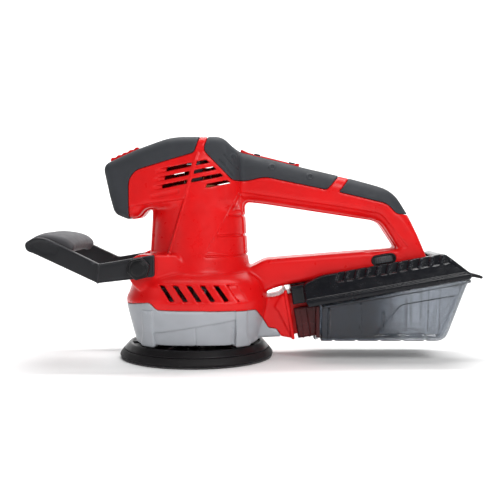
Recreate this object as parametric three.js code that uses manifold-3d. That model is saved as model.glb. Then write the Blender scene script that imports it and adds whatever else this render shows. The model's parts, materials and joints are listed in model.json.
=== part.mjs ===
// Random orbital sander with a D-handle, an adjustable front handle and a filter box.
// Millimetres, +Z up. The origin is on the motor axis, in the plane of the sanding face.
// +X points to the rear, towards the filter box, and the machine is split in two halves at Y = 0.
import * as THREE from "three";
import { ConvexGeometry } from "three/addons/geometries/ConvexGeometry.js";
import { mergeVertices } from "three/addons/utils/BufferGeometryUtils.js";
import Module from "manifold-3d";

const wasm = await Module();
wasm.setup();

// ---------------------------------------------------------------- driving dimensions
const PAD_RADIUS = 62.5;
const PAD_TOP = 13;
const ORBIT_RADIUS = 1.25;
const PAD_X = -ORBIT_RADIUS;
const HOLE_CIRCLE = 32.5;
const HOLE_RADIUS = 5;
const HOLE_COUNT = 8;
const HOOK_TOP = 1.4;
const PLATE_BOTTOM = 8;
const PAD_SCREW = { count: 4, circle: 11, shank: 1.5, head: 3.1, headTop: 9.3 };
const PAD_BEARING = { inner: 4.3, outer: 11, low: 23.5, high: 32.7 };
const SHAFT_RADIUS = 4;

const WALL = 2.5;
const GAP = 0.3;
const GRIP_DEPTH = 1.5;
const GRIP_PROUD = 0.3;
const HEAD_HALF = 27;
const HANDLE_HALF = 18;
const DUCT_HALF = 22;
const NECK_BOTTOM_RADIUS = 41;
const NECK_TOP_RADIUS = 38.5;
const BASE_RADIUS = 57;
const SKIRT_RADIUS = 49;
const SKIRT_BOTTOM = 14.6;
const SHOULDER_Z = 64;

const BOX_TILT = THREE.MathUtils.degToRad(9.5);
const BOX_SLOPE = Math.tan(BOX_TILT);
const LID_HALF = 38;
const BIN_HALF = 36;
const BIN_BOTTOM = 16.6;
const BIN_WALL = 2.2;

const PIVOT = { x: -41.5, z: 75.2 };
const LUG_RADIUS = 10;
const LUG_OUTER = 43.7;
const ARM_INNER = 44.2;
const ARM_OUTER = 50;
const KNOB = { hex: 8.3, cap: 6, shank: 3 };

const FAR = 400;

// ---------------------------------------------------------------- colours
const finish = (color, roughness, metalness = 0) => ({ color, roughness, metalness });
const RED = finish(0xdd1f20, 0.38);
const SOFT_GREY = finish(0x3c4043, 0.75);
const SILVER_PLASTIC = finish(0xa9adb1, 0.4);
const BLACK_PLASTIC = finish(0x1c1c1f, 0.4);
const RUBBER = finish(0x242224, 0.8);
const SMOKE = finish(0x5a6066, 0.15);
const STEEL = finish(0xb8bbc0, 0.3, 1);
const COPPER = finish(0xb8642d, 0.4, 1);
const ALUMINIUM = finish(0xc4c6c8, 0.45, 1);
const CARBON = finish(0x2b2b2b, 0.6);
const CARD_GREEN = finish(0x1f5a33, 0.6);
const FILTER_PAPER = finish(0xd8d4c8, 0.9);

// ---------------------------------------------------------------- solids
// A three.js geometry as a solid, its shared vertices merged.
function solid(geometry) {
  const bare = geometry.index ? geometry.toNonIndexed() : geometry.clone();
  for (const name of Object.keys(bare.attributes)) {
    if (name !== "position") bare.deleteAttribute(name);
  }
  const merged = mergeVertices(bare, 1e-4);
  return new wasm.Manifold(
    new wasm.Mesh({
      numProp: 3,
      vertProperties: merged.attributes.position.array,
      triVerts: new Uint32Array(merged.index.array),
    }),
  );
}

const join = (...solids) => solids.reduce((sum, next) => sum.add(next));
const cut = (from, ...tools) => tools.reduce((rest, tool) => rest.subtract(tool), from);

// A solid as a geometry again.
function geometryOf(made) {
  const mesh = made.getMesh();
  const geometry = new THREE.BufferGeometry();
  geometry.setAttribute("position", new THREE.BufferAttribute(mesh.vertProperties, 3));
  geometry.setIndex(new THREE.BufferAttribute(mesh.triVerts, 1));
  return geometry;
}

// An outline is a list of [x, z] or [x, z, corner radius].
function shapeOf(outline) {
  const shape = new THREE.Shape();
  const at = (i) => outline[(i + outline.length) % outline.length];
  outline.forEach(([x, z, radius = 0], i) => {
    if (radius === 0) {
      if (i === 0) shape.moveTo(x, z);
      else shape.lineTo(x, z);
      return;
    }
    const towards = ([px, pz]) => {
      const length = Math.hypot(px - x, pz - z);
      const step = Math.min(radius, length * 0.45);
      return [x + ((px - x) / length) * step, z + ((pz - z) / length) * step];
    };
    const start = towards(at(i - 1));
    const end = towards(at(i + 1));
    if (i === 0) shape.moveTo(...start);
    else shape.lineTo(...start);
    shape.quadraticCurveTo(x, z, ...end);
  });
  shape.closePath();
  return shape;
}

// An outline moved outwards by a distance, or inwards where it is negative. Its corner radii follow.
function offset(outline, distance) {
  const area = outline.reduce((sum, [x, z], i) => {
    const [nx, nz] = outline[(i + 1) % outline.length];
    return sum + x * nz - nx * z;
  }, 0);
  const side = Math.sign(area) * distance;
  return outline.map(([x, z, radius = 0], i) => {
    const [px, pz] = outline[(i - 1 + outline.length) % outline.length];
    const [nx, nz] = outline[(i + 1) % outline.length];
    const before = new THREE.Vector2(z - pz, px - x).normalize();
    const after = new THREE.Vector2(nz - z, x - nx).normalize();
    const bisector = before.clone().add(after).normalize();
    const length = side / Math.max(0.35, bisector.dot(before));
    const rounded = radius > 0 ? Math.max(0, radius + distance) : 0;
    return [x + bisector.x * length, z + bisector.y * length, rounded];
  });
}

// A plate whose outline lies in XZ, from y = low to y = high, with bevelled edges.
// A corner too tight for the bevel to follow stays sharp.
function plate(outline, low, high, bevel = 0, segments = 2) {
  const corners = outline.map(([x, z, radius = 0]) => [x, z, radius > 1.8 * bevel ? radius : 0]);
  const geometry = new THREE.ExtrudeGeometry(shapeOf(corners), {
    depth: high - low - 2 * bevel,
    curveSegments: 3,
    bevelEnabled: bevel > 0,
    bevelThickness: bevel,
    bevelSize: bevel,
    bevelOffset: -bevel,
    bevelSegments: segments,
  });
  geometry.rotateX(Math.PI / 2);
  geometry.translate(0, high - bevel, 0);
  return solid(geometry);
}

// A solid of revolution about Z; the profile is a list of [radius, z].
function turned(profile, segments = 28, x = 0) {
  const points = profile.map(([radius, z]) => new THREE.Vector2(radius, z));
  const geometry = new THREE.LatheGeometry(points, segments);
  geometry.rotateX(Math.PI / 2);
  geometry.translate(x, 0, 0);
  return solid(geometry);
}

const disc = (radius, low, high, segments = 24, x = 0) =>
  turned([[0, low], [radius, low], [radius, high], [0, high]], segments, x);
const ring = (inner, outer, low, high, segments = 20, x = 0) =>
  turned([[inner, low], [outer, low], [outer, high], [inner, high], [inner, low]], segments, x);

function block(low, high) {
  const size = high.map((value, i) => value - low[i]);
  const geometry = new THREE.BoxGeometry(...size);
  geometry.translate(...low.map((value, i) => value + size[i] / 2));
  return solid(geometry);
}

// A cylinder along Y.
function crossBar(radius, x, z, low, high, sides = 12) {
  const geometry = new THREE.CylinderGeometry(radius, radius, high - low, sides);
  geometry.translate(x, (low + high) / 2, z);
  return solid(geometry);
}

// A convex solid between sections, each [x, z, half width in Y].
const hullOf = (corners) =>
  solid(
    new ConvexGeometry(
      corners.flatMap(([x, z, half]) => [
        new THREE.Vector3(x, -half, z),
        new THREE.Vector3(x, half, z),
      ]),
    ),
  );

// The low and high Y of what lies between two distances from the middle, on the side -1 or 1.
const onSide = (side, near, far) => (side < 0 ? [-far, -near] : [near, far]);

const leftHalf = block([-FAR, -FAR, -FAR], [FAR, -GAP / 2, FAR]);
const rightHalf = block([-FAR, GAP / 2, -FAR], [FAR, FAR, FAR]);

const root = new THREE.Group();
function add(name, made, look) {
  const material = new THREE.MeshStandardMaterial(look);
  const mesh = new THREE.Mesh(geometryOf(made), material);
  mesh.name = name;
  root.add(mesh);
}

// ---------------------------------------------------------------- side-view outlines
// The head with its overhanging nose.
const HEAD = [
  [-73.8, 154.8],
  [-44.5, 167.4],
  [-18.3, 176.4],
  [20.4, 176.4],
  [34, 164.4],
  [36, 118],
  [-37, 118, 2],
  [-43.8, 113.4, 3],
  [-54, 111.3, 6],
  [-66, 114.5, 6],
  [-70.4, 130],
];
// The rear handle, its post and the bridge that closes the D.
const bridgeBottom = (x) => 63.9 + BOX_SLOPE * (x - 100);
const HANDLE_LOOP = [
  [10, 172],
  [33, 166.3],
  [124, 144, 8],
  [158, 134.6, 12],
  [170, 114],
  [185.5, bridgeBottom(185.5), 2],
  [60, bridgeBottom(60)],
  [48, 49],
  [10, 49],
];
const FINGER_GAP = [
  [34, 73],
  [40, 73, 4],
  [56, 79.6, 8],
  [160.5, 88.6, 4],
  [145, 110.3, 6],
  [36, 126, 4],
];
// The dust duct behind the base, and the line where the red housing meets the silver shroud.
const DUCT = [
  [20, 51],
  [48, 50],
  [66, 53],
  [71, 54],
  [77, 15.4],
  [68, 16.6],
  [20, 14.6],
];
const BELOW_PARTING = [
  [-80, 46.5],
  [-31, 46.5],
  [-26, 42.5],
  [46.5, 40],
  [57, 25.6],
  [64, 25.2],
  [68.4, 16.9],
  [69, 0],
  [-80, 0],
];
const FRONT_GRIP = [
  [-52.3, 100],
  [-52.3, 144, 4],
  [-46.5, 150.5, 3],
  [-0.8, 164.1, 2],
  [4.3, 178],
  [4.3, 190],
  [-95, 190],
  [-95, 100],
];
const REAR_GRIP = [
  [9.3, 190],
  [9.3, 176],
  [6.3, 166.9],
  [8, 163],
  [29, 142.1, 2],
  [39, 142.3],
  [53, 145.6, 6],
  [103, 135.2, 1.5],
  [114.8, 148],
  [124, 190],
];
const HEEL_GRIP = [
  [128, 190],
  [122.8, 145.5],
  [112.6, 133.8, 1],
  [151.7, 124.3, 4],
  [158.5, 115.8, 2],
  [190, 114],
  [190, 190],
];

// ---------------------------------------------------------------- housing solids
const neckProfile = (grow) => [
  [0, 50 - grow],
  [NECK_BOTTOM_RADIUS + grow, 50 - grow],
  [NECK_BOTTOM_RADIUS + grow, 84],
  [NECK_TOP_RADIUS + grow, 118],
  [NECK_TOP_RADIUS - 0.5 + grow, 150 + grow],
  [NECK_TOP_RADIUS - 7 + grow, 162 + grow],
  [24 + grow, 170 + grow],
  [0, 171 + grow],
];
const BASE_PROFILE = [
  [0, SKIRT_BOTTOM],
  [SKIRT_RADIUS, SKIRT_BOTTOM],
  [BASE_RADIUS - 0.8, 43],
  [BASE_RADIUS, 50],
  [BASE_RADIUS - 1.5, 56],
  [BASE_RADIUS - 6, 61],
  [NECK_BOTTOM_RADIUS + 4, SHOULDER_Z],
  [0, SHOULDER_Z],
];

// The spigot that the filter box slides over, square to the box's tilt.
const along = ([x, z], run, rise = 0) => [
  x + run * Math.cos(BOX_TILT) - rise * Math.sin(BOX_TILT),
  z + run * Math.sin(BOX_TILT) + rise * Math.cos(BOX_TILT),
];
const NOZZLE_TOP = [72.2, 52.6];
const NOZZLE_BOTTOM = along(NOZZLE_TOP, 0, -33);
const SPIGOT_LENGTH = 19;
const SPIGOT_HALF = 19;
const flange = plate(
  [
    along(NOZZLE_TOP, -2.6, 3.2),
    along(NOZZLE_TOP, 0, 3.2),
    along(NOZZLE_TOP, 0, -36.4),
    along(NOZZLE_TOP, -2.6, -36.4),
  ],
  -SPIGOT_HALF - 3.4,
  SPIGOT_HALF + 3.4,
);
const spigot = (shrink, from, to) =>
  plate(
    [
      along(NOZZLE_TOP, from, -shrink),
      along(NOZZLE_TOP, to, -shrink),
      along(NOZZLE_BOTTOM, to, shrink),
      along(NOZZLE_BOTTOM, from, shrink),
    ],
    -SPIGOT_HALF + shrink,
    SPIGOT_HALF - shrink,
    2,
    1,
  );

// The D of the rear handle with its finger gap, grown or shrunk by a distance.
const handleLoop = (grow, bevel, segments) =>
  cut(
    plate(offset(HANDLE_LOOP, grow), -HANDLE_HALF - grow, HANDLE_HALF + grow, bevel, segments),
    plate(offset(FINGER_GAP, -grow), -FAR, FAR),
  );
// The parts of the housing's outside above the base, grown or shrunk by a distance.
const upperBody = (grow) =>
  join(
    plate(offset(HEAD, grow), -HEAD_HALF - grow, HEAD_HALF + grow, 7),
    handleLoop(grow, 5),
    turned(neckProfile(grow)),
  );
const lowerBody = join(
  turned(BASE_PROFILE, 36),
  plate(DUCT, -DUCT_HALF, DUCT_HALF, 3, 1),
  flange,
);

// Hollows inside the housing: the motor room, the head, the handle, the fan room and the duct.
const CAVITY_INSET = 4;
const upperCavity = join(
  plate(offset(HEAD, -CAVITY_INSET), -HEAD_HALF + CAVITY_INSET, HEAD_HALF - CAVITY_INSET, 4, 1),
  handleLoop(-CAVITY_INSET, 2, 1),
  turned([
    [0, 50],
    [NECK_BOTTOM_RADIUS - 4, 50],
    [NECK_TOP_RADIUS - 3.5, 118],
    [NECK_TOP_RADIUS - 3.5, 148],
    [NECK_TOP_RADIUS - 12, 160],
    [0, 166],
  ]),
);
const baseCavity = turned(
  [
    [0, SKIRT_BOTTOM - 5],
    [SKIRT_RADIUS - WALL, SKIRT_BOTTOM - 5],
    [SKIRT_RADIUS - WALL, SKIRT_BOTTOM],
    [BASE_RADIUS - 0.8 - WALL, 43],
    [BASE_RADIUS - WALL, 50],
    [BASE_RADIUS - 1.5 - WALL, 55],
    [BASE_RADIUS - 9, 58.5],
    [NECK_BOTTOM_RADIUS, 61],
    [0, 61],
  ],
  36,
);
const DUCT_BORE = [
  [20, 48],
  [48, 47.5],
  [66, 50],
  [70, 49],
  [70, 21],
  [67, 19.4],
  [20, 17.2],
];
const ductCavity = join(
  plate(DUCT_BORE, -DUCT_HALF + WALL, DUCT_HALF - WALL),
  spigot(2, -9, SPIGOT_LENGTH + 5),
);

// Lugs for the front handle, one on each side of the neck.
const lug = (side) => {
  const [low, high] = onSide(side, 28, LUG_OUTER);
  return join(
    crossBar(LUG_RADIUS, PIVOT.x, PIVOT.z, low, high, 16),
    block([PIVOT.x, low, SHOULDER_Z - 3], [-20, high, PIVOT.z + LUG_RADIUS - 0.6]),
    block([PIVOT.x - 7, low, SHOULDER_Z - 9], [-20, high, PIVOT.z - 2]),
  );
};

// ---------------------------------------------------------------- switch, dial and trim pockets
const [, [TOP_FRONT_X, TOP_FRONT_Z], [TOP_REAR_X, TOP_REAR_Z]] = HANDLE_LOOP;
const HANDLE_TOP_SLOPE = Math.atan2(TOP_FRONT_Z - TOP_REAR_Z, TOP_REAR_X - TOP_FRONT_X);
const onHandleTop = (x, rise) => {
  const z = TOP_FRONT_Z - Math.tan(HANDLE_TOP_SLOPE) * (x - TOP_FRONT_X);
  return [x + rise * Math.sin(HANDLE_TOP_SLOPE), z + rise * Math.cos(HANDLE_TOP_SLOPE)];
};
const ROCKER = { front: 34.5, rear: 82, half: 7, proud: 2.2, depth: 6 };
const rockerOutline = (grow) => [
  onHandleTop(ROCKER.front - grow, ROCKER.proud + grow * 4),
  onHandleTop(ROCKER.rear + grow, ROCKER.proud + grow * 4),
  onHandleTop(ROCKER.rear + grow, -ROCKER.depth - grow * 3),
  onHandleTop(ROCKER.front - grow, -ROCKER.depth - grow * 3),
];
const rockerPocket = plate(rockerOutline(0.8), -ROCKER.half - 0.6, ROCKER.half + 0.6);

const INSERT = { front: -69, rear: -46, half: 6.5, proud: 1.7, depth: 0.9 };
const [[NOSE_X, NOSE_Z], [BROW_X, BROW_Z]] = HEAD;
const NOSE_SLOPE = Math.atan2(BROW_Z - NOSE_Z, BROW_X - NOSE_X);
const onNoseTop = (x, rise) => [
  x - rise * Math.sin(NOSE_SLOPE),
  NOSE_Z + Math.tan(NOSE_SLOPE) * (x - NOSE_X) + rise * Math.cos(NOSE_SLOPE),
];
const insertOutline = (grow) => [
  onNoseTop(INSERT.front - grow, INSERT.proud + grow * 3),
  onNoseTop(INSERT.rear + grow, INSERT.proud + grow * 3),
  onNoseTop(INSERT.rear + grow, -INSERT.depth - grow),
  onNoseTop(INSERT.front - grow, -INSERT.depth - grow),
];
const insertPocket = plate(insertOutline(GAP), -INSERT.half - GAP, INSERT.half + GAP);

const DIAL_RADIUS = 11;
const DIAL_HEIGHT = 6;
const DIAL_X = 149;
const DIAL_Y = -HANDLE_HALF + DIAL_RADIUS - 0.8;
const DIAL_Z = bridgeBottom(DIAL_X) + 7.8;
function tilted(made, x, z) {
  const turn = new THREE.Matrix4()
    .makeTranslation(x, 0, z)
    .multiply(new THREE.Matrix4().makeRotationY(-BOX_TILT));
  return made.transform(turn.elements);
}
const dialWindow = tilted(
  join(
    plate(
      [[-10, -4.5, 4.4], [10, -4.5, 4.4], [10, 4.5, 4.4], [-10, 4.5, 4.4]],
      -HANDLE_HALF - 3,
      -HANDLE_HALF + CAVITY_INSET,
    ),
    disc(DIAL_RADIUS + 0.8, -DIAL_HEIGHT / 2 - 0.6, DIAL_HEIGHT / 2 + 0.6, 24).translate([0, DIAL_Y, 0]),
  ),
  DIAL_X,
  DIAL_Z,
);

// ---------------------------------------------------------------- housing screws
const SCREW = { shank: 1.7, head: 3.1, boss: 4, headDepth: 3 };
const SCREWS = [
  { x: -60, z: 126, half: HEAD_HALF },
  { x: 46, z: 134.5, half: HANDLE_HALF },
  { x: 98, z: 129, half: HANDLE_HALF },
  { x: 157, z: 107, half: HANDLE_HALF },
  { x: 74, z: 70, half: HANDLE_HALF },
  { x: 128, z: 78.2, half: HANDLE_HALF },
];
const bosses = SCREWS.map(({ x, z, half }) => crossBar(SCREW.boss, x, z, -half + 2, half - 2, 10));
const screwHoles = SCREWS.map(({ x, z, half }) =>
  join(
    crossBar(SCREW.shank + GAP, x, z, -half + 5.5, half + 1, 8),
    crossBar(SCREW.head + GAP, x, z, half - SCREW.headDepth - 1.5, half + 1, 8),
  ),
);

// ---------------------------------------------------------------- housing halves, grips, shroud
const outer = upperBody(0);
const gripRegions = [FRONT_GRIP, REAR_GRIP, HEEL_GRIP].map((region) => plate(region, -60, 60));
const gripFloor = upperBody(-GRIP_DEPTH - GAP);
const shell = cut(
  join(
    cut(
      join(outer, cut(lowerBody, plate(offset(BELOW_PARTING, GAP / 2), -90, 90))),
      upperCavity,
      baseCavity,
      ductCavity,
    ),
    cut(join(lug(-1), lug(1)), disc(NECK_BOTTOM_RADIUS - 4, 40, 100), baseCavity),
    cut(spigot(0, -3, SPIGOT_LENGTH), ductCavity),
    ...bosses,
  ),
  ...gripRegions.map((region) => cut(region, gripFloor)),
  rockerPocket,
  insertPocket,
  dialWindow,
  ...screwHoles,
);

const GLAND = { radius: 5.4, x: 178.2, z: 95 };
function glandAxis(radius, low, high, sides = 14) {
  const geometry = new THREE.CylinderGeometry(radius, radius, high - low, sides);
  geometry.translate(0, (low + high) / 2, 0);
  geometry.rotateZ(-Math.PI / 2);
  geometry.rotateY(-THREE.MathUtils.degToRad(25));
  geometry.translate(GLAND.x, 0, GLAND.z);
  return solid(geometry);
}
const knobHoles = [-1, 1].map((side) => {
  const [low, high] = onSide(side, 34, 60);
  return crossBar(KNOB.shank + GAP, PIVOT.x, PIVOT.z, low, high);
});
const housing = cut(shell, glandAxis(GLAND.radius + GAP, -9, 6), ...knobHoles);
add("housing_left", housing.intersect(leftHalf), RED);
add("housing_right", housing.intersect(rightHalf), RED);

const gripSkin = cut(upperBody(GRIP_PROUD), upperBody(-GRIP_DEPTH), rockerPocket, insertPocket, ...screwHoles);
[["front_grip", FRONT_GRIP], ["rear_grip", REAR_GRIP], ["heel_grip", HEEL_GRIP]].forEach(
  ([name, region]) => {
    const grip = gripSkin.intersect(plate(offset(region, -GAP), -60, 60));
    add(`${name}_left`, grip.intersect(leftHalf), SOFT_GREY);
    add(`${name}_right`, grip.intersect(rightHalf), SOFT_GREY);
  },
);
add("cord_gland", cut(glandAxis(GLAND.radius, -6, 0.6), glandAxis(3.4, -8, 4)), RUBBER);
add("nose_insert", plate(insertOutline(0), -INSERT.half, INSERT.half, 0.6, 1), RED);

const shroudBody = lowerBody.intersect(plate(offset(BELOW_PARTING, -GAP / 2), -90, 90));
add("dust_shroud", cut(shroudBody, baseCavity, ductCavity), SILVER_PLASTIC);

SCREWS.forEach(({ x, z, half }, i) => {
  const headTop = half - 1.2;
  const screw = join(
    crossBar(SCREW.shank, x, z, -half + 6, headTop - 1, 8),
    crossBar(SCREW.head, x, z, headTop - SCREW.headDepth, headTop, 8),
  );
  add(`housing_screw_${i + 1}`, screw, STEEL);
});

// ---------------------------------------------------------------- controls
const rocker = plate(rockerOutline(0), -ROCKER.half, ROCKER.half, 1, 1);
add("rocker_switch", rocker, RED);
const dial = disc(DIAL_RADIUS, -DIAL_HEIGHT / 2, DIAL_HEIGHT / 2, 28).translate([0, DIAL_Y, 0]);
add("speed_dial", tilted(dial, DIAL_X, DIAL_Z), BLACK_PLASTIC);
add("switch_module", block([52, -8, 136], [76, 8, 146]), BLACK_PLASTIC);
add(
  "speed_controller",
  tilted(
    join(block([-21, -11, -2.4], [21, 11, -0.8]), block([-18, -9, -1], [8, 9, 2.8])),
    101,
    bridgeBottom(101) + 7.2,
  ),
  CARD_GREEN,
);

// ---------------------------------------------------------------- motor
const shaft = join(
  disc(SHAFT_RADIUS, 40, 164, 16),
  disc(SHAFT_RADIUS + 1.2, 92, 134, 16),
);
add("motor_shaft", shaft, STEEL);
const windingEnds = (low, high, lowRadius, highRadius) =>
  turned([[5.6, low], [lowRadius, low], [highRadius, high], [5.6, high], [5.6, low]], 20);
add("armature_winding_upper", windingEnds(130.3, 138, 18, 14), COPPER);
add("armature_winding_lower", windingEnds(91, 95.7, 14, 18), COPPER);
const MOTOR_RINGS = [
  { name: "armature_core", inner: SHAFT_RADIUS + 1.5, outer: 20.6, low: 96, high: 130, look: STEEL },
  { name: "commutator", inner: SHAFT_RADIUS + GAP, outer: 11, low: 141, high: 153, look: COPPER },
  { name: "stator_core", inner: 21.6, outer: 33.6, low: 94, high: 132, look: STEEL },
  { name: "field_coil_upper", inner: 22.5, outer: 30, low: 132.3, high: 139, look: COPPER },
  { name: "field_coil_lower", inner: 22.5, outer: 30, low: 88.5, high: 93.7, look: COPPER },
  { name: "upper_bearing", inner: SHAFT_RADIUS + GAP, outer: 9.5, low: 156.5, high: 162.5, look: STEEL },
  { name: "lower_bearing", inner: SHAFT_RADIUS + GAP, outer: 11, low: 62, high: 69.7, look: STEEL },
];
MOTOR_RINGS.forEach(({ name, inner, outer, low, high, look }) => {
  add(name, ring(inner, outer, low, high, 24), look);
});
const bearingPlate = cut(
  join(ring(11 + GAP, 36, 64.4, 67.6, 24), ring(11 + GAP, 14.5, 61.6, 70, 20)),
  ...[0, 1, 2, 3].map((i) => {
    const angle = Math.PI / 4 + (i * Math.PI) / 2;
    return disc(5, 60, 75, 8).translate([25 * Math.cos(angle), 25 * Math.sin(angle), 0]);
  }),
);
add("bearing_plate", bearingPlate, ALUMINIUM);

function bladeWheel(hubInner, hubOuter, radius, plateLow, plateHigh, bladeTop, count) {
  const blades = [];
  for (let i = 0; i < count; i += 1) {
    const blade = block([hubOuter - 1, -0.8, plateHigh - 0.5], [radius - 0.6, 0.8, bladeTop]);
    blades.push(blade.rotate([0, 0, (i * 360) / count]));
  }
  return join(
    ring(hubInner, radius, plateLow, plateHigh, 20),
    ring(hubInner, hubOuter, plateLow, bladeTop, 12),
    ...blades,
  );
}
add("cooling_fan", bladeWheel(SHAFT_RADIUS + GAP, 9, 31, 73, 74.6, 84, 9), BLACK_PLASTIC);
add("extractor_fan", bladeWheel(SHAFT_RADIUS + GAP, 9, 40, 47, 48.6, 57, 9), ALUMINIUM);

[["left", -1], ["right", 1]].forEach(([name, side]) => {
  const span = (near, far) => onSide(side, near, far);
  const [brushLow, brushHigh] = span(11.6, 23.5);
  const [holderLow, holderHigh] = span(14, 26);
  const [slotLow, slotHigh] = span(10, 24);
  const holder = cut(
    block([-5, holderLow, 142], [5, holderHigh, 152.4]),
    block([-3.4, slotLow, 143.8], [3.4, slotHigh, 150.6]),
  );
  add(`brush_holder_${name}`, holder, BLACK_PLASTIC);
  add(`carbon_brush_${name}`, block([-3, brushLow, 144.2], [3, brushHigh, 150.2]), CARBON);
});

// ---------------------------------------------------------------- orbit drive and pad
const counterweight = disc(30, 34, 40, 28).intersect(block([6, -30, 30], [32, 30, 44]));
const eccentric = cut(
  join(disc(17, 22, 44, 24), counterweight, block([10, -12, 34], [22, 12, 40])),
  disc(SHAFT_RADIUS + GAP, 37, 46, 16),
  disc(PAD_BEARING.outer + GAP, 20, PAD_BEARING.high + GAP, 20, PAD_X),
);
add("eccentric_hub", eccentric, STEEL);
add(
  "pad_bearing",
  ring(PAD_BEARING.inner, PAD_BEARING.outer, PAD_BEARING.low, PAD_BEARING.high, 20, PAD_X),
  STEEL,
);

// Copies of a disc at even steps round the pad's axis, starting at an angle.
function roundPad(count, circle, start, radius, low, high) {
  const made = [];
  for (let i = 0; i < count; i += 1) {
    const angle = start + (i * 2 * Math.PI) / count;
    const place = [PAD_X + circle * Math.cos(angle), circle * Math.sin(angle), 0];
    made.push(disc(radius, low, high, 8).translate(place));
  }
  return made;
}
const dustHoles = (low, high) => roundPad(HOLE_COUNT, HOLE_CIRCLE, 0, HOLE_RADIUS, low, high);
const atPadScrews = (radius, low, high) =>
  roundPad(PAD_SCREW.count, PAD_SCREW.circle, Math.PI / PAD_SCREW.count, radius, low, high);

const padSpindle = cut(
  join(disc(SHAFT_RADIUS, 15, 32, 16, PAD_X), disc(16, PAD_TOP + GAP, 17, 24, PAD_X)),
  ...atPadScrews(PAD_SCREW.shank + 0.4, PAD_TOP - 1, 20),
);
add("pad_spindle", padSpindle, STEEL);
const hookFace = cut(
  disc(PAD_RADIUS - 0.7, 0, HOOK_TOP, 40, PAD_X),
  ...dustHoles(-1, HOOK_TOP + 1),
  ...atPadScrews(PAD_SCREW.head + GAP, -1, HOOK_TOP + 1),
);
add("hook_face", hookFace, RUBBER);
const foamProfile = [
  [0, HOOK_TOP + GAP],
  [PAD_RADIUS, HOOK_TOP + GAP],
  [PAD_RADIUS, 3.4],
  [59.4, PLATE_BOTTOM - GAP],
  [0, PLATE_BOTTOM - GAP],
];
const foam = cut(
  turned(foamProfile, 40, PAD_X),
  ...dustHoles(0, PLATE_BOTTOM + 1),
  ...atPadScrews(PAD_SCREW.head + GAP, 0, PLATE_BOTTOM + 1),
);
add("pad_foam", foam, RUBBER);
const padPlate = cut(
  turned([[0, PLATE_BOTTOM], [59.2, PLATE_BOTTOM], [54, PAD_TOP], [0, PAD_TOP]], 40, PAD_X),
  ...dustHoles(PLATE_BOTTOM - 1, PAD_TOP + 1),
  ...atPadScrews(PAD_SCREW.head + GAP, PLATE_BOTTOM - 1, PAD_SCREW.headTop + GAP),
  ...atPadScrews(PAD_SCREW.shank + 0.4, PLATE_BOTTOM - 1, PAD_TOP + 1),
);
add("pad_plate", padPlate, BLACK_PLASTIC);
const padScrewHeads = atPadScrews(PAD_SCREW.head, PAD_SCREW.headTop - 2.9, PAD_SCREW.headTop);
const padScrewShanks = atPadScrews(PAD_SCREW.shank, PAD_SCREW.headTop - GAP, 16.8);
padScrewHeads.forEach((head, i) => {
  add(`pad_screw_${i + 1}`, join(head, padScrewShanks[i]), STEEL);
});
add("brake_ring", ring(41, 44, 15.2, 19, 28), RUBBER);

// ---------------------------------------------------------------- front handle
const ARM = [
  [-30, 86.6, 3],
  [-72.3, 80.2, 2],
  [-103, 95, 6],
  [-113, 98.2, 8],
  [-123, 98.6, 6],
  [-130.6, 94.4, 4],
  [-129, 88.2, 4],
  [-123, 86.2],
  [-73.3, 63.8, 2],
  [-30, 68.8, 3],
];
const CROSSBAR = [
  [-103, 93, 2],
  [-112, 96.4, 8],
  [-121, 96.8, 6],
  [-127, 93.6, 3],
  [-125.6, 89.6, 3],
  [-114, 85.4, 4],
  [-105, 88.6, 2],
];
const armPlate = (low, high) => plate(ARM, low, high, 0.8, 1);
const handleFrame = cut(
  join(
    armPlate(-ARM_OUTER, -ARM_INNER),
    armPlate(ARM_INNER, ARM_OUTER),
    plate(CROSSBAR, -ARM_INNER - 1, ARM_INNER + 1),
  ),
  crossBar(KNOB.shank + GAP, PIVOT.x, PIVOT.z, -60, 60),
);
add("front_handle", handleFrame, BLACK_PLASTIC);
const HANDLE_PAD = [
  [-92.5, 91, 1],
  [-100, 97.2, 6],
  [-112, 101.6, 10],
  [-122, 101.4, 6],
  [-130.2, 96.8, 3],
  [-129, 94.8],
  [-121, 97.3, 6],
  [-112, 96.9, 8],
  [-102.8, 93.4],
  [-96.5, 88],
];
add("front_handle_grip", plate(HANDLE_PAD, -ARM_INNER + GAP, ARM_INNER - GAP), SOFT_GREY);
[["left", -1], ["right", 1]].forEach(([name, side]) => {
  const span = (near, far) => onSide(side, near, far);
  const knob = join(
    crossBar(KNOB.hex, PIVOT.x, PIVOT.z, ...span(ARM_OUTER + GAP, 56.4), 6),
    crossBar(KNOB.cap, PIVOT.x, PIVOT.z, ...span(55, 57.6), 16),
    crossBar(KNOB.shank, PIVOT.x, PIVOT.z, ...span(35, 51), 12),
  );
  add(`clamp_knob_${name}`, knob, BLACK_PLASTIC);
});

// ---------------------------------------------------------------- filter box
const rimLine = (x) => 44.3 + 0.176 * (x - 90);
const FLANGE = along(NOZZLE_TOP, 2.6);
const sleeveOuter = plate(
  [
    along(FLANGE, 0, 5),
    along(FLANGE, 20, 5),
    along(FLANGE, 15, -35.8),
    along(FLANGE, 0, -35.8),
  ],
  -25,
  25,
  2,
  1,
);
const sleeveInner = plate(
  [
    along(FLANGE, -4, 0.6),
    along(FLANGE, 30, 0.6),
    along(FLANGE, 30, -33.6),
    along(FLANGE, -4, -33.6),
  ],
  -SPIGOT_HALF - 0.6,
  SPIGOT_HALF + 0.6,
  2,
  1,
);
const FRONT_WALL_X = 94;
const frontWall = plate(
  [[FRONT_WALL_X, rimLine(94) - GAP], [97, rimLine(97) - GAP], [97, 19.6], [FRONT_WALL_X, 19.6]],
  -BIN_HALF + 2.6,
  BIN_HALF - 2.6,
);
const lidUnderside = plate(
  [[60, rimLine(60)], [230, rimLine(230)], [230, 110], [60, 110]].map(([x, z]) => [x, z - GAP]),
  -60,
  60,
);
const behindWall = block([97, -60, -FAR], [FAR, 60, FAR]);
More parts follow.
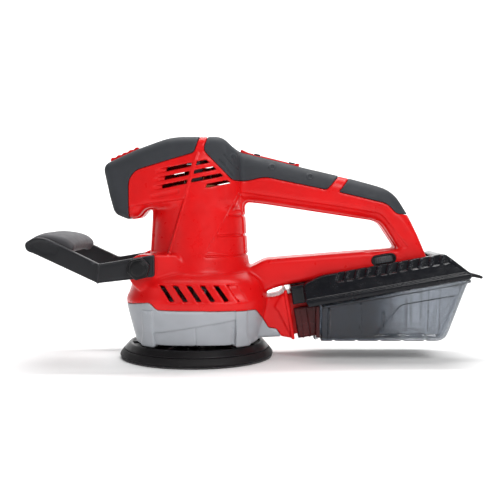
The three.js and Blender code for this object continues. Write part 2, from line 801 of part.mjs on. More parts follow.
const HINGE = { x: 95.6, z: 17.2, radius: 2.2, pin: 1.1, half: 14 };
const knuckle = (low, high) =>
  cut(
    join(crossBar(HINGE.radius, HINGE.x, HINGE.z, low, high, 14), block([94, low, HINGE.z], [97, high, 20])),
    crossBar(HINGE.pin + 0.2, HINGE.x, HINGE.z, low - 1, high + 1, 10),
  );
const sleeve = cut(
  join(cut(sleeveOuter, lidUnderside, behindWall), frontWall),
  sleeveInner,
);
add("inlet_sleeve", join(sleeve, knuckle(-19, -14.3), knuckle(14.3, 19)), SMOKE);

const binOutside = hullOf([
  [98, rimLine(98) - GAP, BIN_HALF],
  [213, rimLine(213) - GAP, BIN_HALF],
  [209.4, rimLine(209.4) - 9, BIN_HALF - 1],
  [196.6, BIN_BOTTOM + 3, BIN_HALF - 4],
  [191, BIN_BOTTOM, BIN_HALF - 4],
  [98, BIN_BOTTOM, BIN_HALF - 4],
]);
const binInside = hullOf([
  [90, rimLine(90) + 5, BIN_HALF - BIN_WALL],
  [211, rimLine(211) + 5, BIN_HALF - BIN_WALL],
  [207, rimLine(207) - 9, BIN_HALF - 1 - BIN_WALL],
  [194.6, BIN_BOTTOM + 4.3, BIN_HALF - 4 - BIN_WALL],
  [190, BIN_BOTTOM + BIN_WALL, BIN_HALF - 4 - BIN_WALL],
  [90, BIN_BOTTOM + BIN_WALL, BIN_HALF - 4 - BIN_WALL],
]);
const binRim = cut(
  hullOf([
    [98, rimLine(98) - GAP, LID_HALF],
    [213.5, rimLine(213.5) - GAP, LID_HALF],
    [213, rimLine(213) - 3, LID_HALF],
    [98, rimLine(98) - 3, LID_HALF],
  ]),
  binInside,
);
const binKnuckle = cut(
  join(
    crossBar(HINGE.radius, HINGE.x, HINGE.z, -HINGE.half, HINGE.half, 14),
    block([HINGE.x, -HINGE.half, HINGE.z - HINGE.radius], [100, HINGE.half, 18.4]),
  ),
  crossBar(HINGE.pin + 0.2, HINGE.x, HINGE.z, -20, 20, 10),
);
add("dust_bin", join(cut(binOutside, binInside), binRim, binKnuckle), SMOKE);
add("box_hinge_pin", crossBar(HINGE.pin, HINGE.x, HINGE.z, -19, 19, 10), STEEL);

// The lid is a low hipped roof with a channel that clears the bridge of the handle.
const lidTop = (x) => bridgeBottom(x) - 1.2;
const lidRoof = hullOf([
  [88, rimLine(88), LID_HALF],
  [214, rimLine(214), LID_HALF],
  [214, rimLine(214) + 4, LID_HALF],
  [196, lidTop(196) + 6.4, LID_HALF - 11],
  [98, lidTop(98) + 5.4, LID_HALF - 11],
  [84, lidTop(84) + 1, LID_HALF - 12],
  [86, rimLine(86) + 4, LID_HALF],
]);
const channel = plate(
  [[60, lidTop(60)], [189, lidTop(189)], [189, 110], [60, 110]],
  -HANDLE_HALF - 2.2,
  HANDLE_HALF + 2.2,
);
const lidInside = hullOf([
  [96, rimLine(96) - 3, LID_HALF - 3],
  [208, rimLine(208) - 3, LID_HALF - 3],
  [208, rimLine(208) + 2.5, LID_HALF - 3],
  [193, lidTop(193) - 2.4, LID_HALF - 14],
  [100, lidTop(100) - 2.4, LID_HALF - 14],
  [96, rimLine(96) + 2.5, LID_HALF - 3],
]);
const lid = cut(lidRoof, channel, lidInside, cut(sleeveInner, block([97, -50, 0], [300, 50, 200])));
add("box_lid", lid, BLACK_PLASTIC);

const PLEATS = 14;
const FILTER = { front: 101, rear: 200, half: 22, top: 4.2, fold: 2.8, tip: -1.5 };
const pleatStep = (FILTER.rear - FILTER.front) / PLEATS;
const overRim = (x, rise) => [x, rimLine(x) + rise];
const pleatOutline = [overRim(FILTER.rear, FILTER.top), overRim(FILTER.front, FILTER.top)];
for (let i = 0; i < PLEATS; i += 1) {
  const x = FILTER.front + i * pleatStep;
  pleatOutline.push(overRim(x, FILTER.fold), overRim(x + pleatStep / 2, FILTER.tip));
}
pleatOutline.push(overRim(FILTER.rear, FILTER.fold));
add("filter_cartridge", plate(pleatOutline, -FILTER.half, FILTER.half), FILTER_PAPER);

const LATCH_Z = rimLine(214) + 1;
const latch = plate(
  [
    [215, LATCH_Z + 2.4, 1],
    [222, LATCH_Z + 1.2, 2],
    [231.8, LATCH_Z - 1.6, 2],
    [231, LATCH_Z - 4, 1],
    [222, LATCH_Z - 2.4, 2],
    [217, LATCH_Z - 6],
    [215, LATCH_Z - 6],
  ],
  -9,
  9,
);
add("box_latch", latch, BLACK_PLASTIC);

export default root;
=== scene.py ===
import json
import math

import bpy
import numpy as np
import openvdb as vdb
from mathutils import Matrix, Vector


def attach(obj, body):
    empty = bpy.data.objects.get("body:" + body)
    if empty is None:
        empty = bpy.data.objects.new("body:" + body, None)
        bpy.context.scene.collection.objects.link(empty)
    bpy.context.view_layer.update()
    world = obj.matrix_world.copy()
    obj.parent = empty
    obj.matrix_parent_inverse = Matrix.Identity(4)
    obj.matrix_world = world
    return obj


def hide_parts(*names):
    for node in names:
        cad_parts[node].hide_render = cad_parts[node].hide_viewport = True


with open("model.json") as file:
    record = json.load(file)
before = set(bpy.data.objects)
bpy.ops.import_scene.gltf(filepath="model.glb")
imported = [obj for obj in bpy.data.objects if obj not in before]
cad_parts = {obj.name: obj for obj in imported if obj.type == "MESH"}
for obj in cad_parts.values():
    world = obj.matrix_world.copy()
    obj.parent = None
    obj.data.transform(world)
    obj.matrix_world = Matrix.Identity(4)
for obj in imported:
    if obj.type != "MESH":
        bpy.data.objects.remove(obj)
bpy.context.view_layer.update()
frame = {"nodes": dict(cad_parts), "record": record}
MM = 0.001

# ------------------------------------------------------------------ sizes shared by several pieces
# Names that end in HALF are half widths across y. A DROP or a RISE is measured square to the box's slide.
PAD_X = -1.25  # the eccentric's throw moves the pad's centre off the motor's axis
HANDLE_HALF = 18.0
WALL = 3.0
BOX_TILT = math.radians(9.5)
BOX_SLOPE = math.tan(BOX_TILT)
LID_HALF = 38.0
BIN_HALF = 36.0
PIVOT = (-41.5, 75.2)
BRIDGE_X, BRIDGE_Z = 100, 63.9
RIM_X, RIM_Z, RIM_SLOPE = 90, 44.3, 0.176
BOX_START = (72.2, 52.6)
NOZZLE_DROP = 16.5
SLEEVE_BORE_HALF, SLEEVE_BORE_RISE = 19.6, 17.1
SIDE_FACE = 12.0
HOUSING_STEP = 0.65
SMALL_STEP = 0.6
PAD_STEP = 0.5
FINE_STEP = 0.4
ADAPTIVITY = 0.01


def bridge_bottom(x):
    """Height of the lower bridge's underside, which the filter box slides along."""
    return BRIDGE_Z + BOX_SLOPE * (x - BRIDGE_X)


def rim_line(x):
    """Height of the parting between the filter box's lid and its bin."""
    return RIM_Z + RIM_SLOPE * (x - RIM_X)


# ------------------------------------------------------------------ distances
class Lattice:
    """Sample points in a block from low to high, in millimetres."""

    def __init__(self, low, high, step):
        self.low = np.array(low, dtype=np.float64)
        self.step = step
        axes = [np.arange(a, b + step, step, dtype=np.float32) for a, b in zip(low, high)]
        self.x = axes[0][:, None, None]
        self.y = axes[1][None, :, None]
        self.z = axes[2][None, None, :]


def rounded(outline, steps=5):
    """The outline's points, with each corner [x, z, radius] turned into a curve."""
    points = []
    for i, corner in enumerate(outline):
        here = np.array(corner[:2], dtype=float)
        if len(corner) < 3:
            points.append(tuple(here))
            continue
        ends = []
        for other in (outline[i - 1], outline[(i + 1) % len(outline)]):
            away = np.array(other[:2], dtype=float) - here
            length = np.linalg.norm(away)
            ends.append(here + away / length * min(corner[2], length * 0.45))
        for k in range(steps + 1):
            t = k / steps
            points.append(tuple((1 - t) ** 2 * ends[0] + 2 * t * (1 - t) * here + t * t * ends[1]))
    return points


def inside(px, pz, outline):
    """Signed distance in a plane to a closed outline, negative inside."""
    points = rounded(outline)
    nearest = np.full(np.broadcast(px, pz).shape, 1e9, dtype=np.float32)
    within = np.zeros(nearest.shape, dtype=bool)
    for (ax, az), (bx, bz) in zip(points, points[1:] + points[:1]):
        ex, ez = bx - ax, bz - az
        wx, wz = px - ax, pz - az
        t = np.clip((wx * ex + wz * ez) / (ex * ex + ez * ez + 1e-12), 0, 1)
        nearest = np.minimum(nearest, (wx - ex * t) ** 2 + (wz - ez * t) ** 2)
        if az != bz:
            within ^= ((az > pz) != (bz > pz)) & (px < ex * (pz - az) / ez + ax)
    return np.where(within, -1, 1).astype(np.float32) * np.sqrt(nearest)


def near_line(px, pz, start, end):
    """Distance in a plane to a straight line between two points."""
    ex, ez = end[0] - start[0], end[1] - start[1]
    t = np.clip(((px - start[0]) * ex + (pz - start[1]) * ez) / (ex * ex + ez * ez), 0, 1)
    return np.hypot(px - start[0] - ex * t, pz - start[1] - ez * t)


def circles(px, pz, centres, radius):
    """Distance in a plane to the nearest of several circles."""
    return np.minimum.reduce([np.hypot(px - x, pz - z) - radius for x, z in centres])


def turned(at, middle, angle):
    """Distances from a point along a line that rises at an angle, and square to it."""
    dx, dz = at.x - middle[0], at.z - middle[1]
    run = dx * math.cos(angle) + dz * math.sin(angle)
    rise = dz * math.cos(angle) - dx * math.sin(angle)
    return run, rise


def slab(flat, across, radius):
    """What lies inside both distances, with the edge between them rounded to a radius."""
    a, b = flat + radius, across + radius
    return np.minimum(np.maximum(a, b), 0) + np.hypot(np.maximum(a, 0), np.maximum(b, 0)) - radius


def fuse(a, b, radius):
    """Both solids, with a fillet of about the radius where they meet."""
    h = np.maximum(radius - np.abs(a - b), 0) / radius
    return np.minimum(a, b) - h * h * radius / 4


def take_away(a, b):
    return np.maximum(a, -b)


def engrave(field, region, depth, edge=0.7):
    """The surface sunk by a depth where the region is negative. A negative depth raises it."""
    return field + depth * np.clip(0.5 - region / edge, 0, 1)


def spun(q, lattice, profile):
    """Distance to a profile [(radius, z)] turned about Z, where q is each column's radius."""
    step = 0.5
    radii = np.arange(0, q.max() + 2 * step, step, dtype=np.float32)
    table = inside(radii[:, None], lattice.z[0, 0][None, :], profile)
    place = q[..., 0] / step
    low = place.astype(int)
    share = (place - low)[..., None].astype(np.float32)
    return table[low] * (1 - share) + table[low + 1] * share


# ------------------------------------------------------------------ meshes
def object_from(name, points, faces):
    mesh = bpy.data.meshes.new(name)
    mesh.from_pydata(points, [], faces)
    mesh.polygons.foreach_set("use_smooth", [True] * len(mesh.polygons))
    mesh.update()
    made = bpy.data.objects.new(name, mesh)
    bpy.context.scene.collection.objects.link(made)
    return made


def signed_volume(points, corners):
    a, b, c = (points[corners[:, k]] for k in range(3))
    return float(np.einsum("ij,ij->i", a, np.cross(b, c)).sum())


def moulded(name, lattice, field, material, body, nodes=()):
    """Meshes a field's zero surface as a piece that rides on a body and stands for CAD nodes."""
    band = 3 * lattice.step
    block = np.pad(np.clip(field, -band, band), 1, constant_values=band).astype(np.float32)
    grid = vdb.FloatGrid()
    grid.background = band
    grid.copyFromArray(block)
    points, triangles, quads = grid.convertToPolygons(isovalue=0.0, adaptivity=ADAPTIVITY)
    points = ((points - 1) * lattice.step + lattice.low) * MM
    corners = np.vstack([quads[:, [0, 1, 2]], quads[:, [0, 2, 3]], triangles.reshape(-1, 3)])
    turn = signed_volume(points, corners.astype(int)) < 0
    faces = [face[::-1] if turn else face for face in quads.tolist() + triangles.tolist()]
    piece = object_from(name, points.tolist(), faces)
    piece.data.materials.append(material)
    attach(piece, body)
    if nodes:
        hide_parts(*nodes)
    return piece


def moulded_both(name, lattice, field, material, body, nodes=()):
    """Meshes a field sampled from y = 0 outwards together with its mirror image."""
    whole = np.concatenate([field[:, :0:-1], field], axis=1)
    start = lattice.low[1]
    lattice.low[1] = -(field.shape[1] - 1) * lattice.step
    piece = moulded(name, lattice, whole, material, body, nodes)
    lattice.low[1] = start
    return piece


# ------------------------------------------------------------------ materials
class Paint:
    """A Principled material whose colour, roughness and relief come from noise in object space."""

    def __init__(self, name, roughness, metallic=0.0, specular=0.5):
        self.material = bpy.data.materials.new(name)
        self.material.use_nodes = True
        self.tree = self.material.node_tree
        self.shader = self.tree.nodes["Principled BSDF"]
        self.shader.inputs["Metallic"].default_value = metallic
        self.shader.inputs["Roughness"].default_value = roughness
        self.shader.inputs["Specular IOR Level"].default_value = specular
        self.place = self.node("ShaderNodeTexCoord").outputs["Object"]

    def node(self, kind, **sockets):
        made = self.tree.nodes.new(kind)
        for name, value in sockets.items():
            made.inputs[name.replace("_", " ")].default_value = value
        return made

    def link(self, start, end):
        self.tree.links.new(start, end)

    def noise(self, size_mm, detail=3.0, stretch=(1, 1, 1)):
        """Noise with features of about a size, drawn out along an axis by stretch."""
        mapping = self.node("ShaderNodeMapping")
        mapping.inputs["Scale"].default_value = stretch
        self.link(self.place, mapping.inputs["Vector"])
        made = self.node("ShaderNodeTexNoise", Scale=1000 / size_mm, Detail=detail)
        self.link(mapping.outputs["Vector"], made.inputs["Vector"])
        return made.outputs["Fac"]

    def spread(self, source, low, high):
        """A number source whose middle range becomes low to high."""
        made = self.node("ShaderNodeMapRange", From_Min=0.3, From_Max=0.7, To_Min=low, To_Max=high)
        self.link(source, made.inputs["Value"])
        return made.outputs["Result"]

    def colours(self, source, dark, light):
        """A source turned into a colour between dark and light."""
        made = self.node("ShaderNodeValToRGB")
        first, last = made.color_ramp.elements
        first.position, last.position = 0.32, 0.68
        first.color, last.color = (*dark, 1), (*light, 1)
        self.link(source, made.inputs["Fac"])
        return made.outputs["Color"]

    def painted_edge_light_and_shade(self, colour, edge_colour, amount, start=0.53):
        """The colour, changed towards the edge colour where the surface turns sharply outwards. This paints
        the light and shade of edges: a paler edge colour gives painted highlights, a darker one painted
        shade.
        """
        shape = self.node("ShaderNodeNewGeometry")
        edges = self.node("ShaderNodeMapRange", From_Min=start, From_Max=start + 0.07, To_Max=amount)
        self.link(shape.outputs["Pointiness"], edges.inputs["Value"])
        mix = self.node("ShaderNodeMix")
        mix.data_type = "RGBA"
        self.link(edges.outputs["Result"], mix.inputs["Factor"])
        self.link(colour, mix.inputs["A"])
        mix.inputs["B"].default_value = (*edge_colour, 1)
        return mix.outputs["Result"]

    def painted_shade_towards_front(self, colour, front_shade_colour, start, end):
        """The colour from x = end on, changing to the front colour where x is less than start: with a
        darker front colour, painted shade towards the front.
        """
        axes = self.node("ShaderNodeSeparateXYZ")
        self.link(self.place, axes.inputs["Vector"])
        share = self.node("ShaderNodeMapRange", From_Min=start, From_Max=end, To_Min=1, To_Max=0)
        self.link(axes.outputs["X"], share.inputs["Value"])
        mix = self.node("ShaderNodeMix")
        mix.data_type = "RGBA"
        self.link(share.outputs["Result"], mix.inputs["Factor"])
        self.link(colour, mix.inputs["A"])
        mix.inputs["B"].default_value = (*front_shade_colour, 1)
        return mix.outputs["Result"]

    def relief(self, source, height_mm, strength=1.0):
        bump = self.node("ShaderNodeBump", Strength=strength, Distance=height_mm * MM)
        self.link(source, bump.inputs["Height"])
        self.link(bump.outputs["Normal"], self.shader.inputs["Normal"])

    def finish(self, colour, roughness=None):
        self.link(colour, self.shader.inputs["Base Color"])
        if roughness is not None:
            self.link(roughness, self.shader.inputs["Roughness"])
        return self.material


def tinted(colour, factor):
    return tuple(min(1.0, channel * factor) for channel in colour)


def moulded_plastic(name, colour, roughness, grain_mm=1.1, depth_mm=0.03, edge=1.5, specular=0.25):
    """Injection moulded plastic: fine spark-eroded grain, faint flow marks, and sharp edges painted paler
    by the factor edge as painted highlights.
    """
    paint = Paint(name, roughness, specular=specular)
    flow = paint.colours(paint.noise(22, 2), tinted(colour, 0.93), tinted(colour, 1.06))
    # painted highlights: sharp edges changed towards the colour times edge
    colour_out = paint.painted_edge_light_and_shade(flow, tinted(colour, edge), 0.6)
    paint.relief(paint.noise(grain_mm, 2), depth_mm, 0.5)
    rough = paint.spread(paint.noise(6, 4), roughness - 0.06, roughness + 0.07)
    return paint.finish(colour_out, rough)


def metal(name, colour, roughness, stretch=(1, 1, 1), grain_mm=0.8):
    """Machined or cast metal with brushing along the short side of the stretch."""
    paint = Paint(name, roughness, 1.0)
    lines = paint.noise(grain_mm, 4, stretch)
    paint.relief(lines, 0.02, 0.4)
    rough = paint.spread(paint.noise(5, 3), roughness - 0.08, roughness + 0.1)
    return paint.finish(paint.colours(lines, tinted(colour, 0.82), colour), rough)


# Where along x the clear plastic's painted shade at the front fades out.
FRONT_SHADE_CHANGE = (0.143, 0.168)


def smoked_plastic(name, colour, roughness, transmission, specular, front=None):
    """Clear tinted plastic with faint ripples and sharp edges painted nearly black as painted shade. A
    given front colour paints a darker tint towards the front, also painted shade.
    """
    paint = Paint(name, roughness, specular=specular)
    paint.shader.inputs["Transmission Weight"].default_value = transmission
    paint.shader.inputs["IOR"].default_value = 1.45
    paint.relief(paint.noise(9, 2), 0.12, 0.3)
    rough = paint.spread(paint.noise(4, 3), roughness - 0.03, roughness + 0.05)
    tint = paint.colours(paint.noise(30, 2), tinted(colour, 0.9), colour)
    if front:
        # painted shade: the tint darkened towards the front
        tint = paint.painted_shade_towards_front(tint, front, *FRONT_SHADE_CHANGE)
    # painted shade: sharp edges painted nearly black, as dark lines along the clear walls' edges
    return paint.finish(paint.painted_edge_light_and_shade(tint, tinted(colour, 0.1), 0.9, 0.505), rough)


def woven(name, colour, thread_mm, depth_mm):
    """Short hooks or fibres, seen as a close grid of bumps."""
    paint = Paint(name, 0.9)
    cells = paint.node("ShaderNodeTexVoronoi", Scale=1000 / thread_mm)
    paint.link(paint.place, cells.inputs["Vector"])
    paint.relief(cells.outputs["Distance"], depth_mm)
    paint.shader.inputs["Sheen Weight"].default_value = 0.3
    shade = paint.colours(paint.noise(3, 3), tinted(colour, 0.75), tinted(colour, 1.3))
    return paint.finish(shade, paint.spread(paint.noise(2, 2), 0.8, 0.98))


# edge sets the painted highlights on sharp edges, as a factor on each colour
RED = moulded_plastic("red_housing", (0.70, 0.006, 0.007), 0.32, edge=1.35, grain_mm=1.3, depth_mm=0.06)
SOFT = moulded_plastic("soft_grip", (0.036, 0.039, 0.045), 0.6, depth_mm=0.05, edge=2.4)
PALM = moulded_plastic("palm_rubber", (0.075, 0.074, 0.08), 0.6, depth_mm=0.05, edge=2)
SILVER = moulded_plastic("silver_shroud", (0.37, 0.39, 0.42), 0.38, edge=1.7)
BLACK = moulded_plastic("black_plastic", (0.008, 0.008, 0.009), 0.32, edge=12)
ARM_BLACK = moulded_plastic("handle_plastic", (0.017, 0.0175, 0.02), 0.36, edge=8)
LID_BLACK = moulded_plastic(
    "lid_plastic", (0.006, 0.0065, 0.009), 0.22, grain_mm=0.8, depth_mm=0.01, edge=10
)
PAD_BLACK = moulded_plastic("pad_plastic", (0.008, 0.007, 0.008), 0.36, grain_mm=0.6, depth_mm=0.04, edge=8)
FOAM = moulded_plastic("pad_foam_rubber", (0.009, 0.008, 0.009), 0.6, grain_mm=0.7, depth_mm=0.1, edge=4)
HOOKS = woven("hook_fabric", (0.035, 0.032, 0.035), 1.1, 0.35)
# front paints the front part of the clear bin a much darker tint: painted shade
SMOKE = smoked_plastic(
    "smoke_clear", (0.42, 0.445, 0.48), 0.1, transmission=0.98, specular=0.45, front=(0.09, 0.105, 0.13)
)
SMOKE_DARK = smoked_plastic("smoke_dark", (0.10, 0.011, 0.013), 0.14, transmission=0.35, specular=0.12)
STEEL = metal("brushed_steel", (0.58, 0.58, 0.6), 0.3, stretch=(1, 1, 0.1))
COPPER = metal("copper_wire", (0.80, 0.36, 0.17), 0.35, stretch=(1, 1, 3), grain_mm=1.2)
ALUMINIUM = metal("cast_aluminium", (0.66, 0.67, 0.68), 0.5, grain_mm=0.6)
CARBON = moulded_plastic("carbon_block", (0.03, 0.03, 0.03), 0.6, edge=1.6)
BOARD = moulded_plastic("circuit_board", (0.015, 0.11, 0.04), 0.4, grain_mm=2, edge=1.6)
FLEECE = woven("filter_fleece", (0.05, 0.055, 0.065), 0.7, 0.1)

SLOT_PAINT = {
    "red_plastic": RED,
    "soft_grip": SOFT,
    "silver_plastic": SILVER,
    "black_plastic": BLACK,
    "hook_fabric": HOOKS,
    "pad_foam": FOAM,
    "smoke_plastic": SMOKE,
    "steel": STEEL,
    "copper": COPPER,
    "aluminium": ALUMINIUM,
    "carbon": CARBON,
    "circuit_board": BOARD,
    "filter_paper": FLEECE,
}
for part in frame["record"]["subparts"]:
    node = frame["nodes"][part["node"]]
    node.data.materials.clear()
    node.data.materials.append(SLOT_PAINT[part["material_slot"]])

# ------------------------------------------------------------------ side-view outlines
HEAD = [
    (-73.8, 154.8, 6),
    (-44.5, 167.4, 6),
    (-18.3, 176.2, 10),
    (20.4, 176.2, 5),
    (33.4, 164.4, 4),
    (35, 120),
    (-37, 120, 2),
    (-40.5, 118.6, 2),
    (-44.5, 113, 3),
    (-52.5, 111.6, 5),
    (-64.6, 116.6, 4),
    (-68.6, 131),
]
HANDLE_LOOP = [
    (8, 174),
    (20, 174, 4),
    (32, 166, 3),
    (60, 159.4),
    (85, 153.2),
    (124.9, 143.9, 12),
    (157, 134.9, 12),
    (169.7, 114.5, 6),
    (185.3, bridge_bottom(185.3), 2),
    (66, bridge_bottom(66), 4),
    (55, 54, 3),
    (49, 48.6),
    (8, 48),
]
FINGER_GAP = [
    (30, 73),
    (42, 73.2, 3),
    (54.5, 79.9, 4),
    (160.6, 88.4, 3),
    (146, 110.2, 6),
    (50.6, 124.6, 10),
    (38.4, 125.6, 3),
    (30, 120),
]
DUCT = [(20, 51), (48, 49), (66, 52.6), (71, 54), (77, 15.4), (68, 17), (20, 14.6)]
BELOW_PARTING = [
    (-80, 45.5),
    (-57, 46),
    (-34, 49.2, 2),
    (-28, 43.6, 2),
    (47, 42.6, 2),
    (57, 25.6, 2),
    (63.5, 25, 2),
    (69, 15.5),
    (69, 0),
    (-80, 0),
]
FRONT_GRIP = [
    (-52.4, 100),
    (-52.4, 143, 5),
    (-46.5, 150.4, 4),
    (-0.8, 163.6, 2),
    (4.2, 178),
    (4.2, 190),
    (-95, 190),
    (-95, 100),
]
REAR_GRIP = [
    (9.4, 190),
    (9.4, 176),
    (6.4, 166.9, 3),
    (8, 163.6, 1),
    (29, 142.1, 3),
    (41, 142.3, 4),
    (54, 145.6, 6),
    (103.5, 135.3, 2),
    (115.2, 148),
    (124, 190),
]
HEEL_GRIP = [
    (128, 190),
    (122.4, 145.5),
    (112.6, 133.6, 2),
    (151.7, 124.3, 5),
    (158.8, 116.2, 3),
    (190, 114),
    (190, 190),
]
BASE_SIDE = [
    (-5, 14.8),
    (49.2, 14.8, 1),
    (56.4, 43, 4),
    (57, 50, 2),
    (54.2, 56, 2),
    (52.8, 61.5, 2),
    (49.5, 65.5, 3),
    (42, 70),
    (-5, 70),
]
LUG_SIDE = [(-51, 66, 5), (-51, 80, 6), (-44, 85.2, 3), (-14, 85.2, 2), (8, 60), (-44, 58, 4)]
DUCT_PANEL = [(40, 70), (70, 57), (61.7, 42.2), (65, 38.7), (77.5, 14), (40, 10)]
FRONT_PANEL = [(-60, 86), (-21.5, 86), (-6.6, 133.7), (-9, 128), (-60, 121)]
REAR_PANEL = [(33.5, 133), (8, 86), (60, 84), (60, 122), (38, 128)]
SHROUD_PANEL = [(-31, 25.3), (31.5, 35.7), (31.5, 10), (-31, 10)]
UNDER_HANDLE = [(36, 133.5), (118, 121.5, 4), (147, 116.5, 4), (168, 90), (140, 84), (30, 120)]
PANEL_EDGE = [(-20.9, 85.8), (-6.6, 133.7), (1.5, 163)]


# ------------------------------------------------------------------ housing, shroud and soft grips
def along_box(at):
    """Distances along and across the filter box's slide, from the top of the nozzle."""
    return turned(at, BOX_START, BOX_TILT)


NECK_X, NECK_TOP = 1, 165
NECK_Z = [50, 72, 84, 118, 150, 175]
NECK_RADIUS = [42, 41.4, 39.7, 37.6, 37.2, 36]
HEAD_X = [-76, -50, -20, 24, 44]
HEAD_HALF = [24, 29, 34.5, 34.5, 25]


def head_and_neck(at):
    radius = np.interp(at.z, NECK_Z, NECK_RADIUS)
    neck = slab(np.hypot(at.x - NECK_X, at.y) - radius, at.z - NECK_TOP, radius=9)
    half = np.interp(at.x, HEAD_X, HEAD_HALF)
    head = slab(inside(at.x, at.z, HEAD), np.abs(at.y) - half, radius=8)
    return fuse(neck, head, radius=2.5)


HELD_X, HELD_Z, HELD_SLOPE, HELD_BLEND = 50, 86, 0.1, 22
HELD_NARROWING = 0.6
BRIDGE_EDGE, HELD_EDGE = 4.5, 11


def rear_handle(at):
    """The closed loop, narrower and with rounder edges where the hand holds it."""
    loop = np.maximum(inside(at.x, at.z, HANDLE_LOOP), -inside(at.x, at.z, FINGER_GAP))
    held = np.clip((at.z - HELD_Z - HELD_SLOPE * (at.x - HELD_X)) / HELD_BLEND, 0, 1)
    edge = BRIDGE_EDGE + (HELD_EDGE - BRIDGE_EDGE) * held
    half = HANDLE_HALF - HELD_NARROWING * held
    return slab(loop, np.abs(at.y) - half, edge)


BASE_POWER = 2.7
RIB_X, RIB_HALF, RIB_TOP, RIB_START, RIB_PROUD = 36, 4.4, 43, 30, 1.3
RIB_FLARE, RIB_FLARE_TOP = 0.25, 24


def base(at):
    """The flared base, nearly square in plan, with a rib at each corner of its sides."""
    q = (np.abs(at.x) ** BASE_POWER + np.abs(at.y) ** BASE_POWER) ** (1 / BASE_POWER)
    body = spun(q, at, BASE_SIDE)
    half = RIB_HALF + RIB_FLARE * np.maximum(RIB_FLARE_TOP - at.z, 0)
    rib = slab(np.abs(np.abs(at.x) - RIB_X) - half, body - RIB_PROUD, radius=1)
    rib = np.maximum(rib, np.maximum(at.z - RIB_TOP, RIB_START - np.abs(at.y)))
    return fuse(body, rib, radius=1)


LUG_HALF, LUG_INNER = 43.4, 24
LUG_TAPER, LUG_TAPER_X = 0.2, -30


def lug(at):
    """The flat lugs that the front handle is clamped against, one on each side."""
    half = LUG_HALF - LUG_TAPER * np.maximum(at.x - LUG_TAPER_X, 0)
    across = np.maximum(np.abs(at.y) - half, LUG_INNER - np.abs(at.y))
    return slab(inside(at.x, at.z, LUG_SIDE), across, radius=2)


DUCT_HALF = 21.6
COLLAR_LENGTH, COLLAR_HALF, COLLAR_RISE, COLLAR_DROP = 2.6, 22.4, 19.8, 16.6
SPIGOT_FRONT, SPIGOT_REAR, SPIGOT_HALF, SPIGOT_RISE = -6, 19, 19, 16.5


def duct(at):
    """The duct at the rear of the shroud, with a collar and the spigot that the box slides onto."""
    trunk = slab(inside(at.x, at.z, DUCT), np.abs(at.y) - DUCT_HALF, radius=4)
    trunk = engrave(trunk, inside(at.x, at.z, DUCT_PANEL), depth=1.3, edge=1.2)
    run, rise = along_box(at)
    surround = np.maximum(np.abs(rise + COLLAR_DROP) - COLLAR_RISE, np.abs(at.y) - COLLAR_HALF)
    collar = slab(np.abs(run + COLLAR_LENGTH / 2) - COLLAR_LENGTH / 2, surround, radius=0.8)
    spigot = slab(np.abs(rise + NOZZLE_DROP) - SPIGOT_RISE, np.abs(at.y) - SPIGOT_HALF, radius=2.5)
    spigot = np.maximum(spigot, np.maximum(run - SPIGOT_REAR, SPIGOT_FRONT - run))
    return np.minimum(fuse(trunk, collar, radius=0.8), spigot)


VENT_TOP, VENT_PITCH, VENT_SLOPE, VENT_HALF = 155.1, 6.27, 0.199, 1.45
VENT_BAR_LEAN, VENT_END_LEAN = 0.3, 0.9
VENT_REAR = [(1.2, 9.8), (-0.8, 15.2), (-2.8, 20.6), (8.5, 26)]
VENT_FRONT = [(-22, -2.6), (-23.4, -4.4), (-24.8, -6.2)]
VENT_INNER = 8


def over_vent(at, row):
    """Height above the middle of a row of vents."""
    return at.z - (VENT_TOP - VENT_PITCH * row + VENT_SLOPE * at.x)


def head_vents(at):
    """Rows of sloping slots on each side of the head, parted by a diagonal bar."""
    rows = []
    for row, (start, end) in enumerate(VENT_REAR):
        above = over_vent(at, row)
        slot = np.maximum(start + VENT_BAR_LEAN * above - at.x, at.x - end + VENT_END_LEAN * above)
        if row < len(VENT_FRONT):
            first, last = VENT_FRONT[row]
            upright = at.x - VENT_BAR_LEAN * above
            slot = np.minimum(slot, np.maximum(first - upright, upright - last))
        rows.append(np.maximum(np.abs(above) - VENT_HALF, slot))
    return np.maximum(np.minimum.reduce(rows), VENT_INNER - np.abs(at.y))


RAMP_X, RAMP_STEP, RAMP_LENGTH, RAMP_DEPTH, RAMP_RUN = -30.5, 1.4, 10, 2.8, 9
LINE_LENGTH, LINE_DEPTH = 22, 0.7


def vent_ramps(at, field):
    """Ramps that lead into the front ends of the slots, and a shallow line below them."""
    for row in range(len(VENT_REAR)):
        start = RAMP_X - RAMP_STEP * row
        if row < len(VENT_FRONT):
            length = RAMP_LENGTH
            depth = RAMP_DEPTH * np.clip((at.x - start) / RAMP_RUN, 0.15, 1)
        else:
            length = LINE_LENGTH
            depth = LINE_DEPTH
        span = np.maximum(start - at.x, at.x - start - length)
        region = np.maximum(np.abs(over_vent(at, row)) - VENT_HALF, span)
        field = engrave(field, np.maximum(region, SIDE_FACE - np.abs(at.y)), depth)
    return field


LOUVRE_LEAN, LOUVRE_PITCH, LOUVRE_COUNT = 0.72, 10.3, 5
LOUVRE_X, LOUVRE_Z, LOUVRE_LEVEL = -24, 56, 61
LOUVRE_HALF, LOUVRE_RISE, LOUVRE_INNER = 1.6, 5.6, 25
BLADE_START, BLADE_RISE, BLADE_FROM, BLADE_TO, BLADE_DEPTH = -26, 6.4, -27.5, 33, 2.6


def louvre_place(at):
    """The place along x where a leaning louvre crosses the level at which they are measured."""
    return at.x - LOUVRE_LEAN * (LOUVRE_LEVEL - at.z)


